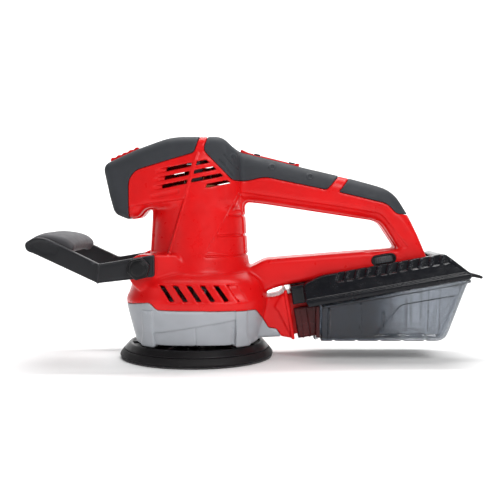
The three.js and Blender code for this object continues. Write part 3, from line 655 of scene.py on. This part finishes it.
def base_louvres(at):
    place = louvre_place(at)
    middles = [LOUVRE_X + LOUVRE_PITCH * i for i in range(LOUVRE_COUNT)]
    slots = np.minimum.reduce([np.abs(place - middle) - LOUVRE_HALF for middle in middles])
    slots = np.maximum(slots, np.abs(at.z - LOUVRE_Z) - LOUVRE_RISE)
    return np.maximum(slots, LOUVRE_INNER - np.abs(at.y))


def louvre_blades(at):
    """The slanting recesses between which the louvres' slots lie, and each point's share of a pitch."""
    place = louvre_place(at)
    phase = (place - BLADE_START) / LOUVRE_PITCH
    within = np.maximum(BLADE_FROM - place, place - BLADE_TO)
    within = np.maximum(within, np.abs(at.z - LOUVRE_Z) - BLADE_RISE)
    return within, phase - np.floor(phase)


def housing_outside(at):
    """The whole outside above the pad, before the soft grips and vents are cut in."""
    outside = fuse(head_and_neck(at), rear_handle(at), radius=4)
    outside = fuse(outside, base(at), radius=3)
    outside = fuse(outside, lug(at), radius=2.5)
    return fuse(outside, duct(at), radius=2.5)


NECK_GROOVES = [(114.8, 25), (99.4, 17), (83.6, 8)]
NECK_REAR = 46
GROOVE_HALF = 0.8
SHARP = 0.5


def panel_lines(at, field):
    """Shallow steps and grooves of the red mouldings."""
    side = SIDE_FACE - np.abs(at.y)
    field = engrave(field, np.maximum(inside(at.x, at.z, FRONT_PANEL), side), depth=1.3, edge=SHARP)
    low, bend, high = PANEL_EDGE
    stripe = np.minimum(near_line(at.x, at.z, low, bend), near_line(at.x, at.z, bend, high))
    field = engrave(field, np.maximum(stripe - 0.9, side), depth=-0.6, edge=SHARP)
    field = engrave(field, np.maximum(inside(at.x, at.z, REAR_PANEL), side), depth=0.9, edge=SHARP)
    for z, start in NECK_GROOVES:
        groove = np.maximum(np.abs(at.z - z) - GROOVE_HALF, np.maximum(start - at.x, at.x - NECK_REAR))
        field = engrave(field, groove, depth=1.3, edge=SHARP)
    under = np.maximum(inside(at.x, at.z, UNDER_HANDLE), 8 - np.abs(at.y))
    return engrave(field, under, depth=0.8, edge=SHARP)


SHROUD_FACE = 38
SHROUD_GROOVES = (0.9, 28.6, 31)


def shroud_lines(at, field):
    side = SHROUD_FACE - np.abs(at.y)
    field = engrave(field, np.maximum(inside(at.x, at.z, SHROUD_PANEL), side), depth=0.9)
    for x in SHROUD_GROOVES:
        groove = near_line(at.x, at.z, (x, 12), (x, 30)) - 0.4
        field = engrave(field, np.maximum(groove, side), depth=0.6)
    return field


GRIP_PROUD, GRIP_DEPTH, GRIP_GAP, GRIP_POCKET = 0.25, 1.7, 0.35, 2.0
STUDS = [(29.5, 160.5), (60, 153.5), (90, 146)]
SCORE_START, SCORE_END, SCORE_SHIFTS = (18.5, 158), (29, 147), (0, 4)


def grip_piece(at, outside, region):
    """A soft skin laid into the housing's outside over a region of its side view."""
    skin = np.maximum(outside - GRIP_PROUD, -(outside + GRIP_DEPTH))
    return slab(region + GRIP_GAP, skin, radius=0.5)


def grip_marks(at, outside):
    """Small raised rings and two diagonal grooves on the sides of the rear grip."""
    for x, z in STUDS:
        ring_line = np.abs(np.hypot(at.x - x, at.z - z) - 2.0) - 0.45
        outside = engrave(outside, ring_line, depth=-0.9)
    for shift in SCORE_SHIFTS:
        start, end = ((x + shift, z + shift) for x, z in (SCORE_START, SCORE_END))
        outside = engrave(outside, near_line(at.x, at.z, start, end) - 0.5, depth=1.0)
    return outside


NOZZLE_BORE_HALF, NOZZLE_BORE_RISE, NOZZLE_BORE_START = 16.8, 14.3, -12
WELL_RADIUS, WELL_TOP = 46.5, 17
KNOB_BORE, KNOB_BORE_START = 3.6, 30


def hollow_housing(at):
    """The housing and shroud as one hollow body with its vents, and its plain outside."""
    plain = housing_outside(at)
    field = vent_ramps(at, panel_lines(at, shroud_lines(at, plain)))
    blades, share = louvre_blades(at)
    field = engrave(field, np.maximum(blades, 20 - np.abs(at.y)), BLADE_DEPTH * (1 - share), edge=0.8)
    run, rise = along_box(at)
    bore = slab(np.abs(rise + NOZZLE_DROP) - NOZZLE_BORE_RISE, np.abs(at.y) - NOZZLE_BORE_HALF, radius=2)
    knob_bore = circles(at.x, at.z, [PIVOT], KNOB_BORE)
    openings = (
        plain + WALL,
        np.maximum(bore, NOZZLE_BORE_START - run),
        head_vents(at),
        base_louvres(at),
        np.maximum(np.hypot(at.x, at.y) - WELL_RADIUS, at.z - WELL_TOP),
        np.maximum(knob_bore, KNOB_BORE_START - np.abs(at.y)),
    )
    for opening in openings:
        field = take_away(field, opening)
    return field, plain


PARTING_GAP = 0.15
SEAM_GAP = 0.12
SHROUD_REAR, SHROUD_TOP = 82, 54


def make_housing():
    at = Lattice((-79, -2 * HOUSING_STEP, 12.4), (188, 61, 180), HOUSING_STEP)
    shell, plain = hollow_housing(at)
    below = inside(at.x, at.z, BELOW_PARTING)
    grips = {
        "front_grip": inside(at.x, at.z, FRONT_GRIP),
        "rear_grip": inside(at.x, at.z, REAR_GRIP),
        "heel_grip": inside(at.x, at.z, HEEL_GRIP),
    }
    red = take_away(take_away(shell, below - PARTING_GAP), insert_room(at))
    for region in grips.values():
        red = take_away(red, slab(region, -(plain + GRIP_POCKET), radius=0.1))
    red = take_away(red, rocker_room(at))
    seam = SEAM_GAP - at.y
    for side in ("left", "right"):
        opening = dial_window(at) if side == "left" else screw_recesses(at)
        half = np.maximum(take_away(red, opening), seam)
        piece = moulded(f"housing_shell_{side}", at, half, RED, "housing", [f"housing_{side}"])
        mirror(piece, side == "left")
        for grip, region in grips.items():
            marked = grip_marks(at, plain) if grip == "rear_grip" else plain
            skin = take_away(np.maximum(grip_piece(at, marked, region), seam), rocker_room(at))
            skin = take_away(skin, insert_room(at))
            if side == "right":
                skin = take_away(skin, opening)
            piece = moulded(f"{grip}_skin_{side}", at, skin, SOFT, "housing", [f"{grip}_{side}"])
            mirror(piece, side == "left")
    last = np.searchsorted(at.x[:, 0, 0], SHROUD_REAR)
    top = np.searchsorted(at.z[0, 0], SHROUD_TOP)
    shroud = np.maximum(shell, below + PARTING_GAP)[:last, 2:, :top]
    moulded_both("shroud_moulding", at, shroud, SILVER, "housing", ["dust_shroud"])


def mirror(piece, flip):
    """Turns a piece made on the +Y side into its mirror image."""
    if not flip:
        return
    for vertex in piece.data.vertices:
        vertex.co.y = -vertex.co.y
    piece.data.flip_normals()


SCREWS = [(-60, 126), (46, 134.5), (98, 129), (157, 107), (74, 70), (128, 78.2)]
SCREW_WELL, SCREW_WELL_START = 3.5, 13.6


def screw_recesses(at):
    """Round wells above the screw heads, on one side only."""
    return np.maximum(circles(at.x, at.z, SCREWS, SCREW_WELL), SCREW_WELL_START - at.y)


DIAL_X, DIAL_Y = 149.0, -7.8
DIAL_Z = bridge_bottom(DIAL_X) + 7.8
DIAL_RADIUS, DIAL_THICKNESS, DIAL_TEETH, DIAL_TOOTH = 10.7, 5.6, 36, 0.25
WINDOW_STRAIGHT, WINDOW_RADIUS, BEZEL_RADIUS, BEZEL_Y = 5.6, 4.4, 4.0, -17.2


def around_dial(at):
    """Distances from the dial's centre along the bridge and square to it."""
    return turned(at, (DIAL_X, DIAL_Z), BOX_TILT)


def window_outline(at, radius):
    """Distance in a plane to the dial's window, a slot with round ends."""
    along, above = around_dial(at)
    return np.hypot(np.maximum(np.abs(along) - WINDOW_STRAIGHT, 0), above) - radius


def dial_window(at):
    return np.maximum(window_outline(at, WINDOW_RADIUS), SIDE_FACE - at.y)


TOP_START, TOP_END = (33, 166.3), (124, 144)
ROCKER_SLOPE = math.atan2(TOP_START[1] - TOP_END[1], TOP_END[0] - TOP_START[0])
ROCKER_X = 58.25
ROCKER_Z = TOP_START[1] - math.tan(ROCKER_SLOPE) * (ROCKER_X - TOP_START[0])
ROCKER_HALF_LENGTH, ROCKER_HALF, ROCKER_DEPTH, ROCKER_TOP, ROCKER_LIFT = 24.3, 7, 5.8, 1.1, 1.1
ROCKER_MARKS = (-10.6, 18.2)


def over_rocker(at):
    """Distances along the handle's top from the rocker's middle, and above it."""
    return turned(at, (ROCKER_X, ROCKER_Z), -ROCKER_SLOPE)


def rocker_room(at):
    run, rise = over_rocker(at)
    return np.maximum(np.maximum(np.abs(run) - 25, np.abs(at.y) - 7.6), -rise - 9)


(NOSE_X, NOSE_Z, _), (BROW_X, BROW_Z, _) = HEAD[:2]
NOSE_SLOPE = math.atan2(BROW_Z - NOSE_Z, BROW_X - NOSE_X)
INSERT_X = -57.5
INSERT_Z = NOSE_Z + math.tan(NOSE_SLOPE) * (INSERT_X - NOSE_X)
INSERT_HALF_LENGTH, INSERT_HALF, INSERT_DEPTH, INSERT_GAP = 12.4, 6.5, 0.9, 0.4
INSERT_TOP, INSERT_WAVE, INSERT_PITCH = 3.7, 0.35, 5.2


def over_insert(at):
    """Distances along the nose's top from the insert's middle, and above it."""
    return turned(at, (INSERT_X, INSERT_Z), NOSE_SLOPE)


def insert_room(at):
    run, rise = over_insert(at)
    plan = np.maximum(np.abs(run) - INSERT_HALF_LENGTH, np.abs(at.y) - INSERT_HALF)
    return np.maximum(plan - INSERT_GAP, -rise - INSERT_DEPTH - 0.5)


make_housing()


# ------------------------------------------------------------------ rocker, insert, dial and gland
def make_rocker():
    at = Lattice((32, 0, 145), (85, 8.4, 172), FINE_STEP)
    run, rise = over_rocker(at)
    top = ROCKER_TOP + ROCKER_LIFT * np.clip((np.abs(run) - 18) / 5, 0, 1)
    side = np.maximum(np.abs(run) - ROCKER_HALF_LENGTH, np.maximum(rise - top, -rise - ROCKER_DEPTH))
    bar = slab(side, at.y - ROCKER_HALF, radius=0.8)
    for middle in ROCKER_MARKS:
        bar = engrave(bar, np.abs(run - middle) - 3, depth=0.6, edge=0.4)
    moulded_both("rocker_bar", at, bar, RED, "rocker", ["rocker_switch"])
    flat = np.minimum.reduce([np.abs(run - middle) - 2.6 for middle in ROCKER_MARKS])
    marks = slab(np.maximum(flat, np.abs(rise - 0.9) - 0.95), at.y - 6.2, radius=0.5)
    moulded_both("rocker_marks", at, marks, SOFT, "rocker")


def make_insert():
    """The bar across the top of the nose, with a wavy top."""
    at = Lattice((-72, 0, 152), (-42, 7.6, 173), FINE_STEP)
    run, rise = over_insert(at)
    top = INSERT_TOP + INSERT_WAVE * np.cos(run * math.tau / INSERT_PITCH)
    side = np.maximum(np.abs(run) - INSERT_HALF_LENGTH, np.maximum(rise - top, -rise - INSERT_DEPTH))
    bar = slab(side, at.y - INSERT_HALF, radius=0.7)
    moulded_both("nose_insert_bar", at, bar, RED, "housing", ["nose_insert"])


def make_dial():
    at = Lattice((136, -19.6, 70), (162, 4.6, 90), FINE_STEP)
    along, above = around_dial(at)
    across = at.y - DIAL_Y
    teeth = DIAL_TOOTH * np.cos(DIAL_TEETH * np.arctan2(across, along))
    knurl = np.hypot(along, across) - DIAL_RADIUS - teeth
    wheel = slab(knurl, np.abs(above) - DIAL_THICKNESS / 2, radius=0.5)
    moulded("dial_wheel", at, wheel, PALM, "dial", ["speed_dial"])
    edge = window_outline(at, BEZEL_RADIUS)
    bezel = slab(np.maximum(edge - 0.25, -(edge + 0.75)), np.abs(at.y - BEZEL_Y) - 0.9, radius=0.3)
    moulded("dial_bezel", at, bezel, BLACK, "housing")


GLAND_PLACE, GLAND_LEAN = (178.2, 95), math.radians(25)
GLAND_RADIUS, GLAND_BORE, GLAND_RIB, GLAND_PITCH = 5, 3.4, 0.35, 2.4


def make_gland():
    """A ribbed rubber gland with an open bore, leaning up towards the rear."""
    at = Lattice((168, 0, 86), (188, 7, 106), FINE_STEP)
    run, rise = turned(at, GLAND_PLACE, GLAND_LEAN)
    radius = np.hypot(rise, at.y)
    ribs = radius - GLAND_RADIUS - GLAND_RIB * np.cos(run * math.tau / GLAND_PITCH)
    sleeve = slab(np.maximum(ribs, GLAND_BORE - radius), np.abs(run + 2.4) - 3.2, radius=0.4)
    moulded_both("gland_sleeve", at, sleeve, FOAM, "housing", ["cord_gland"])


make_rocker()
make_insert()
make_dial()
make_gland()

# ------------------------------------------------------------------ front handle
ARM = [
    (-30.2, 85.6, 2),
    (-72.3, 78.4, 1),
    (-103, 93.2, 6),
    (-114, 98.2, 8),
    (-123, 98.4, 6),
    (-130.2, 94.2, 3),
    (-129, 88.2, 3),
    (-123, 86.2, 2),
    (-73.3, 63.8, 1),
    (-30.2, 68.8, 2),
]
ARM_KINK = [(-73.3, 63.8), (-72.3, 78.4)]
CROSSBAR = [
    (-103, 93, 2),
    (-113, 96.4, 8),
    (-122, 96.6, 6),
    (-129.4, 93.4, 3),
    (-128, 89.6, 3),
    (-114, 85.4, 4),
    (-105, 88.6, 2),
]
PALM_SIDE = [
    (-91.6, 93, 6),
    (-98, 99.6, 8),
    (-112, 102.2, 10),
    (-122, 101.4, 6),
    (-129.9, 96.4, 2),
    (-129, 94.4),
    (-112, 96.6, 8),
    (-104.5, 92.6),
    (-103.8, 88.4),
    (-96.5, 85.6, 4),
]
ARM_TIP_PANEL = [(-127.4, 92, 2), (-122, 96, 3), (-112, 95.8, 5), (-103, 91.6), (-105, 85.6), (-114, 85.4)]
ARM_Y, ARM_HALF, ARM_FACE = 47.1, 2.9, 47
ARM_TAPER, ARM_TAPER_X = 0.1, -72.8
ARM_BORE = 3.3
CROSSBAR_HALF = 45
PALM_HALF, PALM_CROWN, PALM_CROWN_HALF = 43.8, 3.0, 44


def make_front_handle():
    at = Lattice((-132, 0, 61), (-28, 51, 104), SMALL_STEP)
    taper = ARM_TAPER * np.maximum(ARM_TAPER_X - at.x, 0)
    outer_face = ARM_FACE - at.y
    arm_side = inside(at.x, at.z, ARM)
    arm = slab(arm_side, np.abs(at.y + taper - ARM_Y) - ARM_HALF, radius=0.9)
    panel = np.maximum(inside(at.x, at.z, ARM_TIP_PANEL), outer_face - taper)
    arm = engrave(arm, panel, depth=0.6, edge=SHARP)
    lip = np.maximum(np.abs(arm_side + 1.6) - 0.5, outer_face - taper)
    arm = engrave(arm, np.maximum(lip, -73 - at.x), depth=0.3, edge=SHARP)
    kink = np.maximum(near_line(at.x, at.z, *ARM_KINK) - 0.5, outer_face)
    arm = engrave(arm, kink, depth=-0.8, edge=SHARP)
    bar = slab(inside(at.x, at.z, CROSSBAR), at.y - CROSSBAR_HALF + taper, radius=0.6)
    handle = take_away(fuse(arm, bar, radius=1.0), circles(at.x, at.z, [PIVOT], ARM_BORE))
    moulded_both("handle_frame", at, handle, ARM_BLACK, "handle", ["front_handle"])
    crown = PALM_CROWN * (at.y / PALM_CROWN_HALF) ** 4
    palm = slab(inside(at.x, at.z + crown, PALM_SIDE), at.y - PALM_HALF + taper, radius=3)
    moulded_both("handle_palm", at, palm, PALM, "handle", ["front_handle_grip"])


def hexagon(x, z, radius, corner):
    turns = [math.tau * (k + 0.25) / 6 for k in range(6)]
    return [(x + radius * math.cos(t), z + radius * math.sin(t), corner) for t in turns]


KNOB_REACH = 10.4
KNOB_RADIUS, KNOB_CAP_RADIUS, KNOB_SHANK_RADIUS = 9, 5.4, 3


def make_knobs():
    """A hexagonal knob with a round cap and a shank, on each side."""
    pivot_x, pivot_z = PIVOT
    low = (pivot_x - KNOB_REACH, 34, pivot_z - KNOB_REACH)
    at = Lattice(low, (pivot_x + KNOB_REACH, 58.4, pivot_z + KNOB_REACH), FINE_STEP)
    radius = np.hypot(at.x - pivot_x, at.z - pivot_z)
    flats = inside(at.x, at.z, hexagon(pivot_x, pivot_z, KNOB_RADIUS, 1))
    grip = slab(flats, np.abs(at.y - 53.4) - 3.1, radius=1.1)
    cap = slab(radius - KNOB_CAP_RADIUS, np.abs(at.y - 54) - 3.3, radius=0.8)
    knob = engrave(fuse(grip, cap, radius=0.8), np.abs(radius - 6.3) - 0.3, depth=0.3, edge=0.4)
    shank = slab(radius - KNOB_SHANK_RADIUS, np.abs(at.y - 43) - 8, radius=0.4)
    knob = np.minimum(knob, shank)
    for side in ("left", "right"):
        piece = moulded(f"knob_{side}_cap", at, knob, BLACK, f"knob_{side}", [f"clamp_knob_{side}"])
        mirror(piece, side == "left")


make_front_handle()
make_knobs()

# ------------------------------------------------------------------ filter box
LID_SIDE = [
    (88, rim_line(88)),
    (214, rim_line(214), 1),
    (214, rim_line(214) + 4, 1),
    (196, bridge_bottom(196) + 5.2, 3),
    (98, bridge_bottom(98) + 4.2, 4),
    (84, bridge_bottom(84) - 0.2, 3),
    (86, rim_line(86) + 4, 2),
]
BIN_SIDE = [
    (98, rim_line(98) - 0.3),
    (213, rim_line(213) - 0.3),
    (209.4, rim_line(209) - 9, 4),
    (196.6, 19.6, 5),
    (191, 16.6, 3),
    (98, 16.6),
]
BIN_PANEL = [(140, 21.4), (160, 45.6, 3), (203, 53, 3), (190.6, 21.4, 3)]
TOOTH_X, TOOTH_PITCH, TOOTH_COUNT, TOOTH_HALF, TOOTH_LEAN, TOOTH_INNER = 113, 8.3, 11, 2.7, 0.35, 21.8
ROOF_SLOPE, ROOF_START, ROOF_SQUARE = 0.604, 4, 0.856
LID_WALL = 2.3
CHANNEL_HALF, CHANNEL_REAR = 20.2, 189
BIN_RIBS = [(104, 20, 60), (128.5, 20, 60), (146, 24, 40), (164, 24, 50), (181, 24, 56), (190, 26, 58)]
BIN_WALL = 2.1
BIN_HINGE, BIN_PIN = (95.6, 17.2), 1.3
BIN_HOLLOW = [(92, rim_line(92) + 9), (217, rim_line(213) + 9), *BIN_SIDE[2:5], (92, 16.6)]


def lowered(outline, drop):
    """An outline whose first two corners, its open side, are moved down."""
    return [(x, z - drop) for x, z, *_ in outline[:2]] + outline[2:]


def lid_hood(at):
    """The lid's black front end over the top of the inlet sleeve."""
    run, rise = along_box(at)
    return slab(np.maximum(np.abs(run - 9.4) - 6.5, np.abs(rise + 1.3) - 7.4), at.y - 25.4, radius=1.5)


def make_lid():
    """The lid: a hipped roof with a row of teeth, open below and round the sleeve."""
    at = Lattice((72, 0, 38), (216, 39.6, 88), SMALL_STEP)
    rim = rim_line(at.x)
    floor = bridge_bottom(at.x) - 1.2
    roof = (at.y - LID_HALF + ROOF_SLOPE * (at.z - rim - ROOF_START)) * ROOF_SQUARE
    side = np.maximum(roof, at.y - LID_HALF)
    lid = slab(inside(at.x, at.z, LID_SIDE), side, radius=1.2)
    border = np.maximum(np.abs(at.z - rim - 5.6) - 0.6, at.x - 209)
    lid = engrave(lid, np.maximum(border, 26 - at.y), depth=-0.5, edge=SHARP)
    hip = near_line(at.x, at.z, (210, rim_line(210) + 6.5), (194, bridge_bottom(194) + 3.5)) - 0.6
    lid = engrave(lid, np.maximum(hip, 20 - at.y), depth=-0.5, edge=SHARP)
    for i in range(TOOTH_COUNT):
        middle = TOOTH_X + TOOTH_PITCH * i + TOOTH_LEAN * (at.z - floor)
        below = np.maximum(floor - 1.2 - at.z, TOOTH_INNER - at.y)
        tooth = np.maximum(np.abs(at.x - middle) - TOOTH_HALF, below)
        lid = take_away(lid, np.maximum(tooth, -(roof + 2.0)))
    hollow = slab(inside(at.x, at.z, lowered(LID_SIDE, 12)), side, radius=1) + LID_WALL
    hollow = np.maximum(hollow, at.z - floor + LID_WALL)
    channel = np.maximum(np.maximum(at.y - CHANNEL_HALF, floor - at.z), at.x - CHANNEL_REAR)
    run, rise = along_box(at)
    entry = np.maximum(np.abs(rise + NOZZLE_DROP) - SLEEVE_BORE_RISE, at.y - SLEEVE_BORE_HALF)
    entry = np.maximum(entry, at.x - 98)
    for opening in (hollow, channel, entry):
        lid = take_away(lid, opening)
    lid = np.minimum(lid, take_away(lid_hood(at), entry))
    moulded_both("lid_shell", at, lid, LID_BLACK, "box", ["box_lid"])


def make_bin():
    """The clear tub with its panel, ribs, flange and hinge knuckle."""
    at = Lattice((92, 0, 14.4), (215, 39.6, 68), SMALL_STEP)
    rim = rim_line(at.x)
    height = np.clip((at.z - 18) / (rim - 18), 0, 1)
    side = at.y - (BIN_HALF - 4 + 4 * height)
    tub = slab(inside(at.x, at.z, BIN_SIDE), side, radius=2)
    tub = engrave(tub, np.maximum(inside(at.x, at.z, BIN_PANEL), 20 - at.y), depth=1.2, edge=SHARP)
    for x, low, high in BIN_RIBS:
        level = np.maximum(low - at.z, at.z - np.minimum(high, rim - 4.5))
        rib = np.maximum(np.abs(at.x - x) - 0.8, level)
        tub = engrave(tub, np.maximum(rib, 20 - at.y), depth=-1.2, edge=0.6)
    for i in range(5):
        notch = np.maximum(np.abs(at.x - 108 - 18 * i) - 1.2, at.z - 20.5)
        tub = engrave(tub, notch, depth=0.7, edge=SHARP)
    hollow = slab(inside(at.x, at.z, BIN_HOLLOW), side, radius=2) + BIN_WALL
    tub = take_away(tub, hollow)
    flange_side = np.maximum(np.maximum(97.9 - at.x, at.x - 213.5), np.abs(at.z - rim + 1.6) - 1.3)
    flange = slab(flange_side, at.y - LID_HALF, radius=0.5)
    tub = np.minimum(tub, take_away(flange, hollow))
    hinge = circles(at.x, at.z, [BIN_HINGE], BIN_PIN)
    knuckle = slab(hinge - 0.9, at.y - 14, radius=0.4)
    tub = np.minimum(tub, take_away(knuckle, hinge))
    moulded_both("bin_tub", at, tub, SMOKE, "bin", ["dust_bin"])


def make_sleeve():
    """The dark inlet sleeve round the nozzle, and the wall that closes the bin's front."""
    at = Lattice((72, 0, 12), (99, 35, 62), SMALL_STEP)
    run, rise = along_box(at)
    under_lid = at.z - rim_line(at.x) + 0.3
    outside = slab(np.maximum(np.abs(rise + 15.4) - 20.4, 2.7 - run), at.y - 25, radius=2)
    outside = np.maximum(outside, at.x - 97)
    for start in (7, 12):
        outside = engrave(outside, np.abs(run - start) - 0.6, depth=-0.5, edge=0.4)
    wall = np.maximum(np.abs(at.x - 95.5) - 1.5, np.maximum(at.y - 33.4, 19.6 - at.z))
    sleeve = np.maximum(np.minimum(outside, wall), under_lid)
    bore = slab(np.abs(rise + NOZZLE_DROP) - SLEEVE_BORE_RISE, at.y - SLEEVE_BORE_HALF, radius=2)
    sleeve = take_away(take_away(sleeve, bore), lid_hood(at) - 0.2)
    moulded_both("sleeve_shell", at, sleeve, SMOKE_DARK, "box", ["inlet_sleeve"])


LATCH_X, LATCH_HALF = 215, 9


def make_latch():
    """A sprung tongue with a lip for the thumb and three ridges on top."""
    at = Lattice((213, 0, 58), (233, 10, 72), FINE_STEP)
    z = rim_line(LATCH_X - 1) + 1
    outline = [
        (LATCH_X, z + 2.4, 1),
        (222, z + 1.2, 2),
        (231.2, z - 1.4, 2),
        (230.6, z - 3.6, 1),
        (222, z - 1.8, 2),
        (217, z - 6),
        (LATCH_X, z - 6),
    ]
    tab = slab(inside(at.x, at.z, outline), at.y - LATCH_HALF, radius=0.7)
    for i in range(3):
        ridge = np.maximum(np.abs(at.x - 224 - 2.2 * i) - 0.4, z - 1 - at.z)
        tab = engrave(tab, ridge, depth=-0.3, edge=0.4)
    moulded_both("latch_tab", at, tab, BLACK, "latch", ["box_latch"])


make_lid()
make_bin()
make_sleeve()
make_latch()

# ------------------------------------------------------------------ pad
HOLE_COUNT, HOLE_CIRCLE, HOLE_RADIUS = 8, 32.5, 5.0
SCREW_COUNT, SCREW_CIRCLE, PAD_WELL = 4, 11, 3.4
PLATE_RIBS, PLATE_RIB_TURN, PLATE_RIB_START, PLATE_RIB_END = 12, 0.13, 17.5, 52.5
PLATE_PROFILE = [
    (-5, 7.95),
    (59.0, 7.95, 0.3),
    (54.6, 12.9, 0.8),
    (52.4, 12.9, 0.6),
    (51.2, 11.4, 0.6),
    (-5, 11.4),
]
CUSHION_PROFILE = [
    (-5, 1.65),
    (61.8, 1.65, 0.6),
    (62.45, 2.9, 0.8),
    (61.9, 4.2, 0.8),
    (59.3, 7.65, 0.3),
    (-5, 7.65),
]
HOOK_PROFILE = [(-5, 0.05), (61.6, 0.05, 0.4), (61.9, 1.35, 0.4), (-5, 1.35)]


def ring(count, radius, start=0.0):
    """Points (x, y) spaced evenly on a circle round the pad's centre."""
    angles = [start + i * math.tau / count for i in range(count)]
    return [(PAD_X + radius * math.cos(angle), radius * math.sin(angle)) for angle in angles]


def plate_ribs(at, q):
    """Thin radial ribs on top of the plate."""
    ribs = []
    for i in range(PLATE_RIBS):
        angle = i * math.tau / PLATE_RIBS + PLATE_RIB_TURN
        ribs.append(np.abs((at.x - PAD_X) * math.sin(angle) - at.y * math.cos(angle)) - 0.8)
    rib = np.maximum(np.minimum.reduce(ribs), np.maximum(q - PLATE_RIB_END, PLATE_RIB_START - q))
    return np.maximum(rib, np.abs(at.z - 11.8) - 0.9)


def make_pad():
    """The plate, the foam and the hook face, all with the dust holes and the screws' wells."""
    at = Lattice((-64.6, -63.4, -0.8), (62, 63.4, 14.2), PAD_STEP)
    q = np.hypot(at.x - PAD_X, at.y)
    holes = circles(at.x, at.y, ring(HOLE_COUNT, HOLE_CIRCLE), HOLE_RADIUS)
    wells = circles(at.x, at.y, ring(SCREW_COUNT, SCREW_CIRCLE, math.pi / 4), PAD_WELL)
    layers = {
        "pad_base": (PLATE_PROFILE, PAD_BLACK, "pad_plate"),
        "pad_cushion": (CUSHION_PROFILE, FOAM, "pad_foam"),
        "pad_hooks": (HOOK_PROFILE, HOOKS, "hook_face"),
    }
    for name, (profile, paint, node) in layers.items():
        layer = spun(q, at, profile)
        if node == "pad_plate":
            layer = fuse(layer, plate_ribs(at, q), radius=0.4)
        layer = take_away(take_away(layer, holes), wells)
        moulded(name, at, layer, paint, "pad", [node])


make_pad()

# ------------------------------------------------------------------ camera, light and floor
scene = bpy.context.scene


def add_camera():
    data = bpy.data.cameras.new("camera")
    data.lens = 58.6
    data.sensor_width = 36
    camera = bpy.data.objects.new("camera", data)
    scene.collection.objects.link(camera)
    camera.location = (0.0424, -0.665, 0.1217)
    camera.rotation_euler = (math.radians(90 - 3.02), 0, 0)
    scene.camera = camera


def add_softbox(name, place, aim, size, power):
    data = bpy.data.lights.new(name, "AREA")
    data.shape = "RECTANGLE"
    data.size, data.size_y = size
    data.energy = power
    lamp = bpy.data.objects.new(name, data)
    scene.collection.objects.link(lamp)
    lamp.location = place
    lamp.rotation_euler = (Vector(aim) - Vector(place)).to_track_quat("-Z", "Y").to_euler()


def add_stage():
    """A seamless sweep: a floor that curves up into a wall behind the machine."""
    reach, start, curve, top = 6.0, 1.0, 1.2, 5.0
    profile = [(-reach, 0.0)]
    for k in range(25):
        angle = k / 24 * math.pi / 2
        profile.append((start + curve * math.sin(angle), curve * (1 - math.cos(angle))))
    profile.append((start + curve, top))
    points = [(x, y, z) for y, z in profile for x in (-reach, reach)]
    faces = [(2 * i, 2 * i + 1, 2 * i + 3, 2 * i + 2) for i in range(len(profile) - 1)]
    sweep = object_from("sweep", points, faces)
    paint = Paint("sweep_paper", 0.9)
    shade = paint.colours(paint.noise(60, 2), (0.90, 0.90, 0.90), (0.93, 0.93, 0.93))
    sweep.data.materials.append(paint.finish(shade))


def add_world():
    world = bpy.data.worlds.new("studio")
    world.use_nodes = True
    world.node_tree.nodes["Background"].inputs["Color"].default_value = (1, 1, 1, 1)
    world.node_tree.nodes["Background"].inputs["Strength"].default_value = 0.2
    scene.world = world


add_camera()
add_stage()
add_world()
add_softbox("key", (0.5, -1.0, 0.8), (0.05, 0, 0.1), (0.6, 0.6), 9.5)
add_softbox("fill", (-0.9, -0.8, 0.5), (0.0, 0, 0.08), (0.5, 0.7), 1.2)
add_softbox("top", (0.1, 0.25, 1.3), (0.05, 0, 0.1), (1.0, 0.8), 10)
add_softbox("backdrop", (0, 0.6, 1.9), (0, 2.2, 0.6), (2.0, 0.4), 60)
scene.view_settings.view_transform = "Standard"
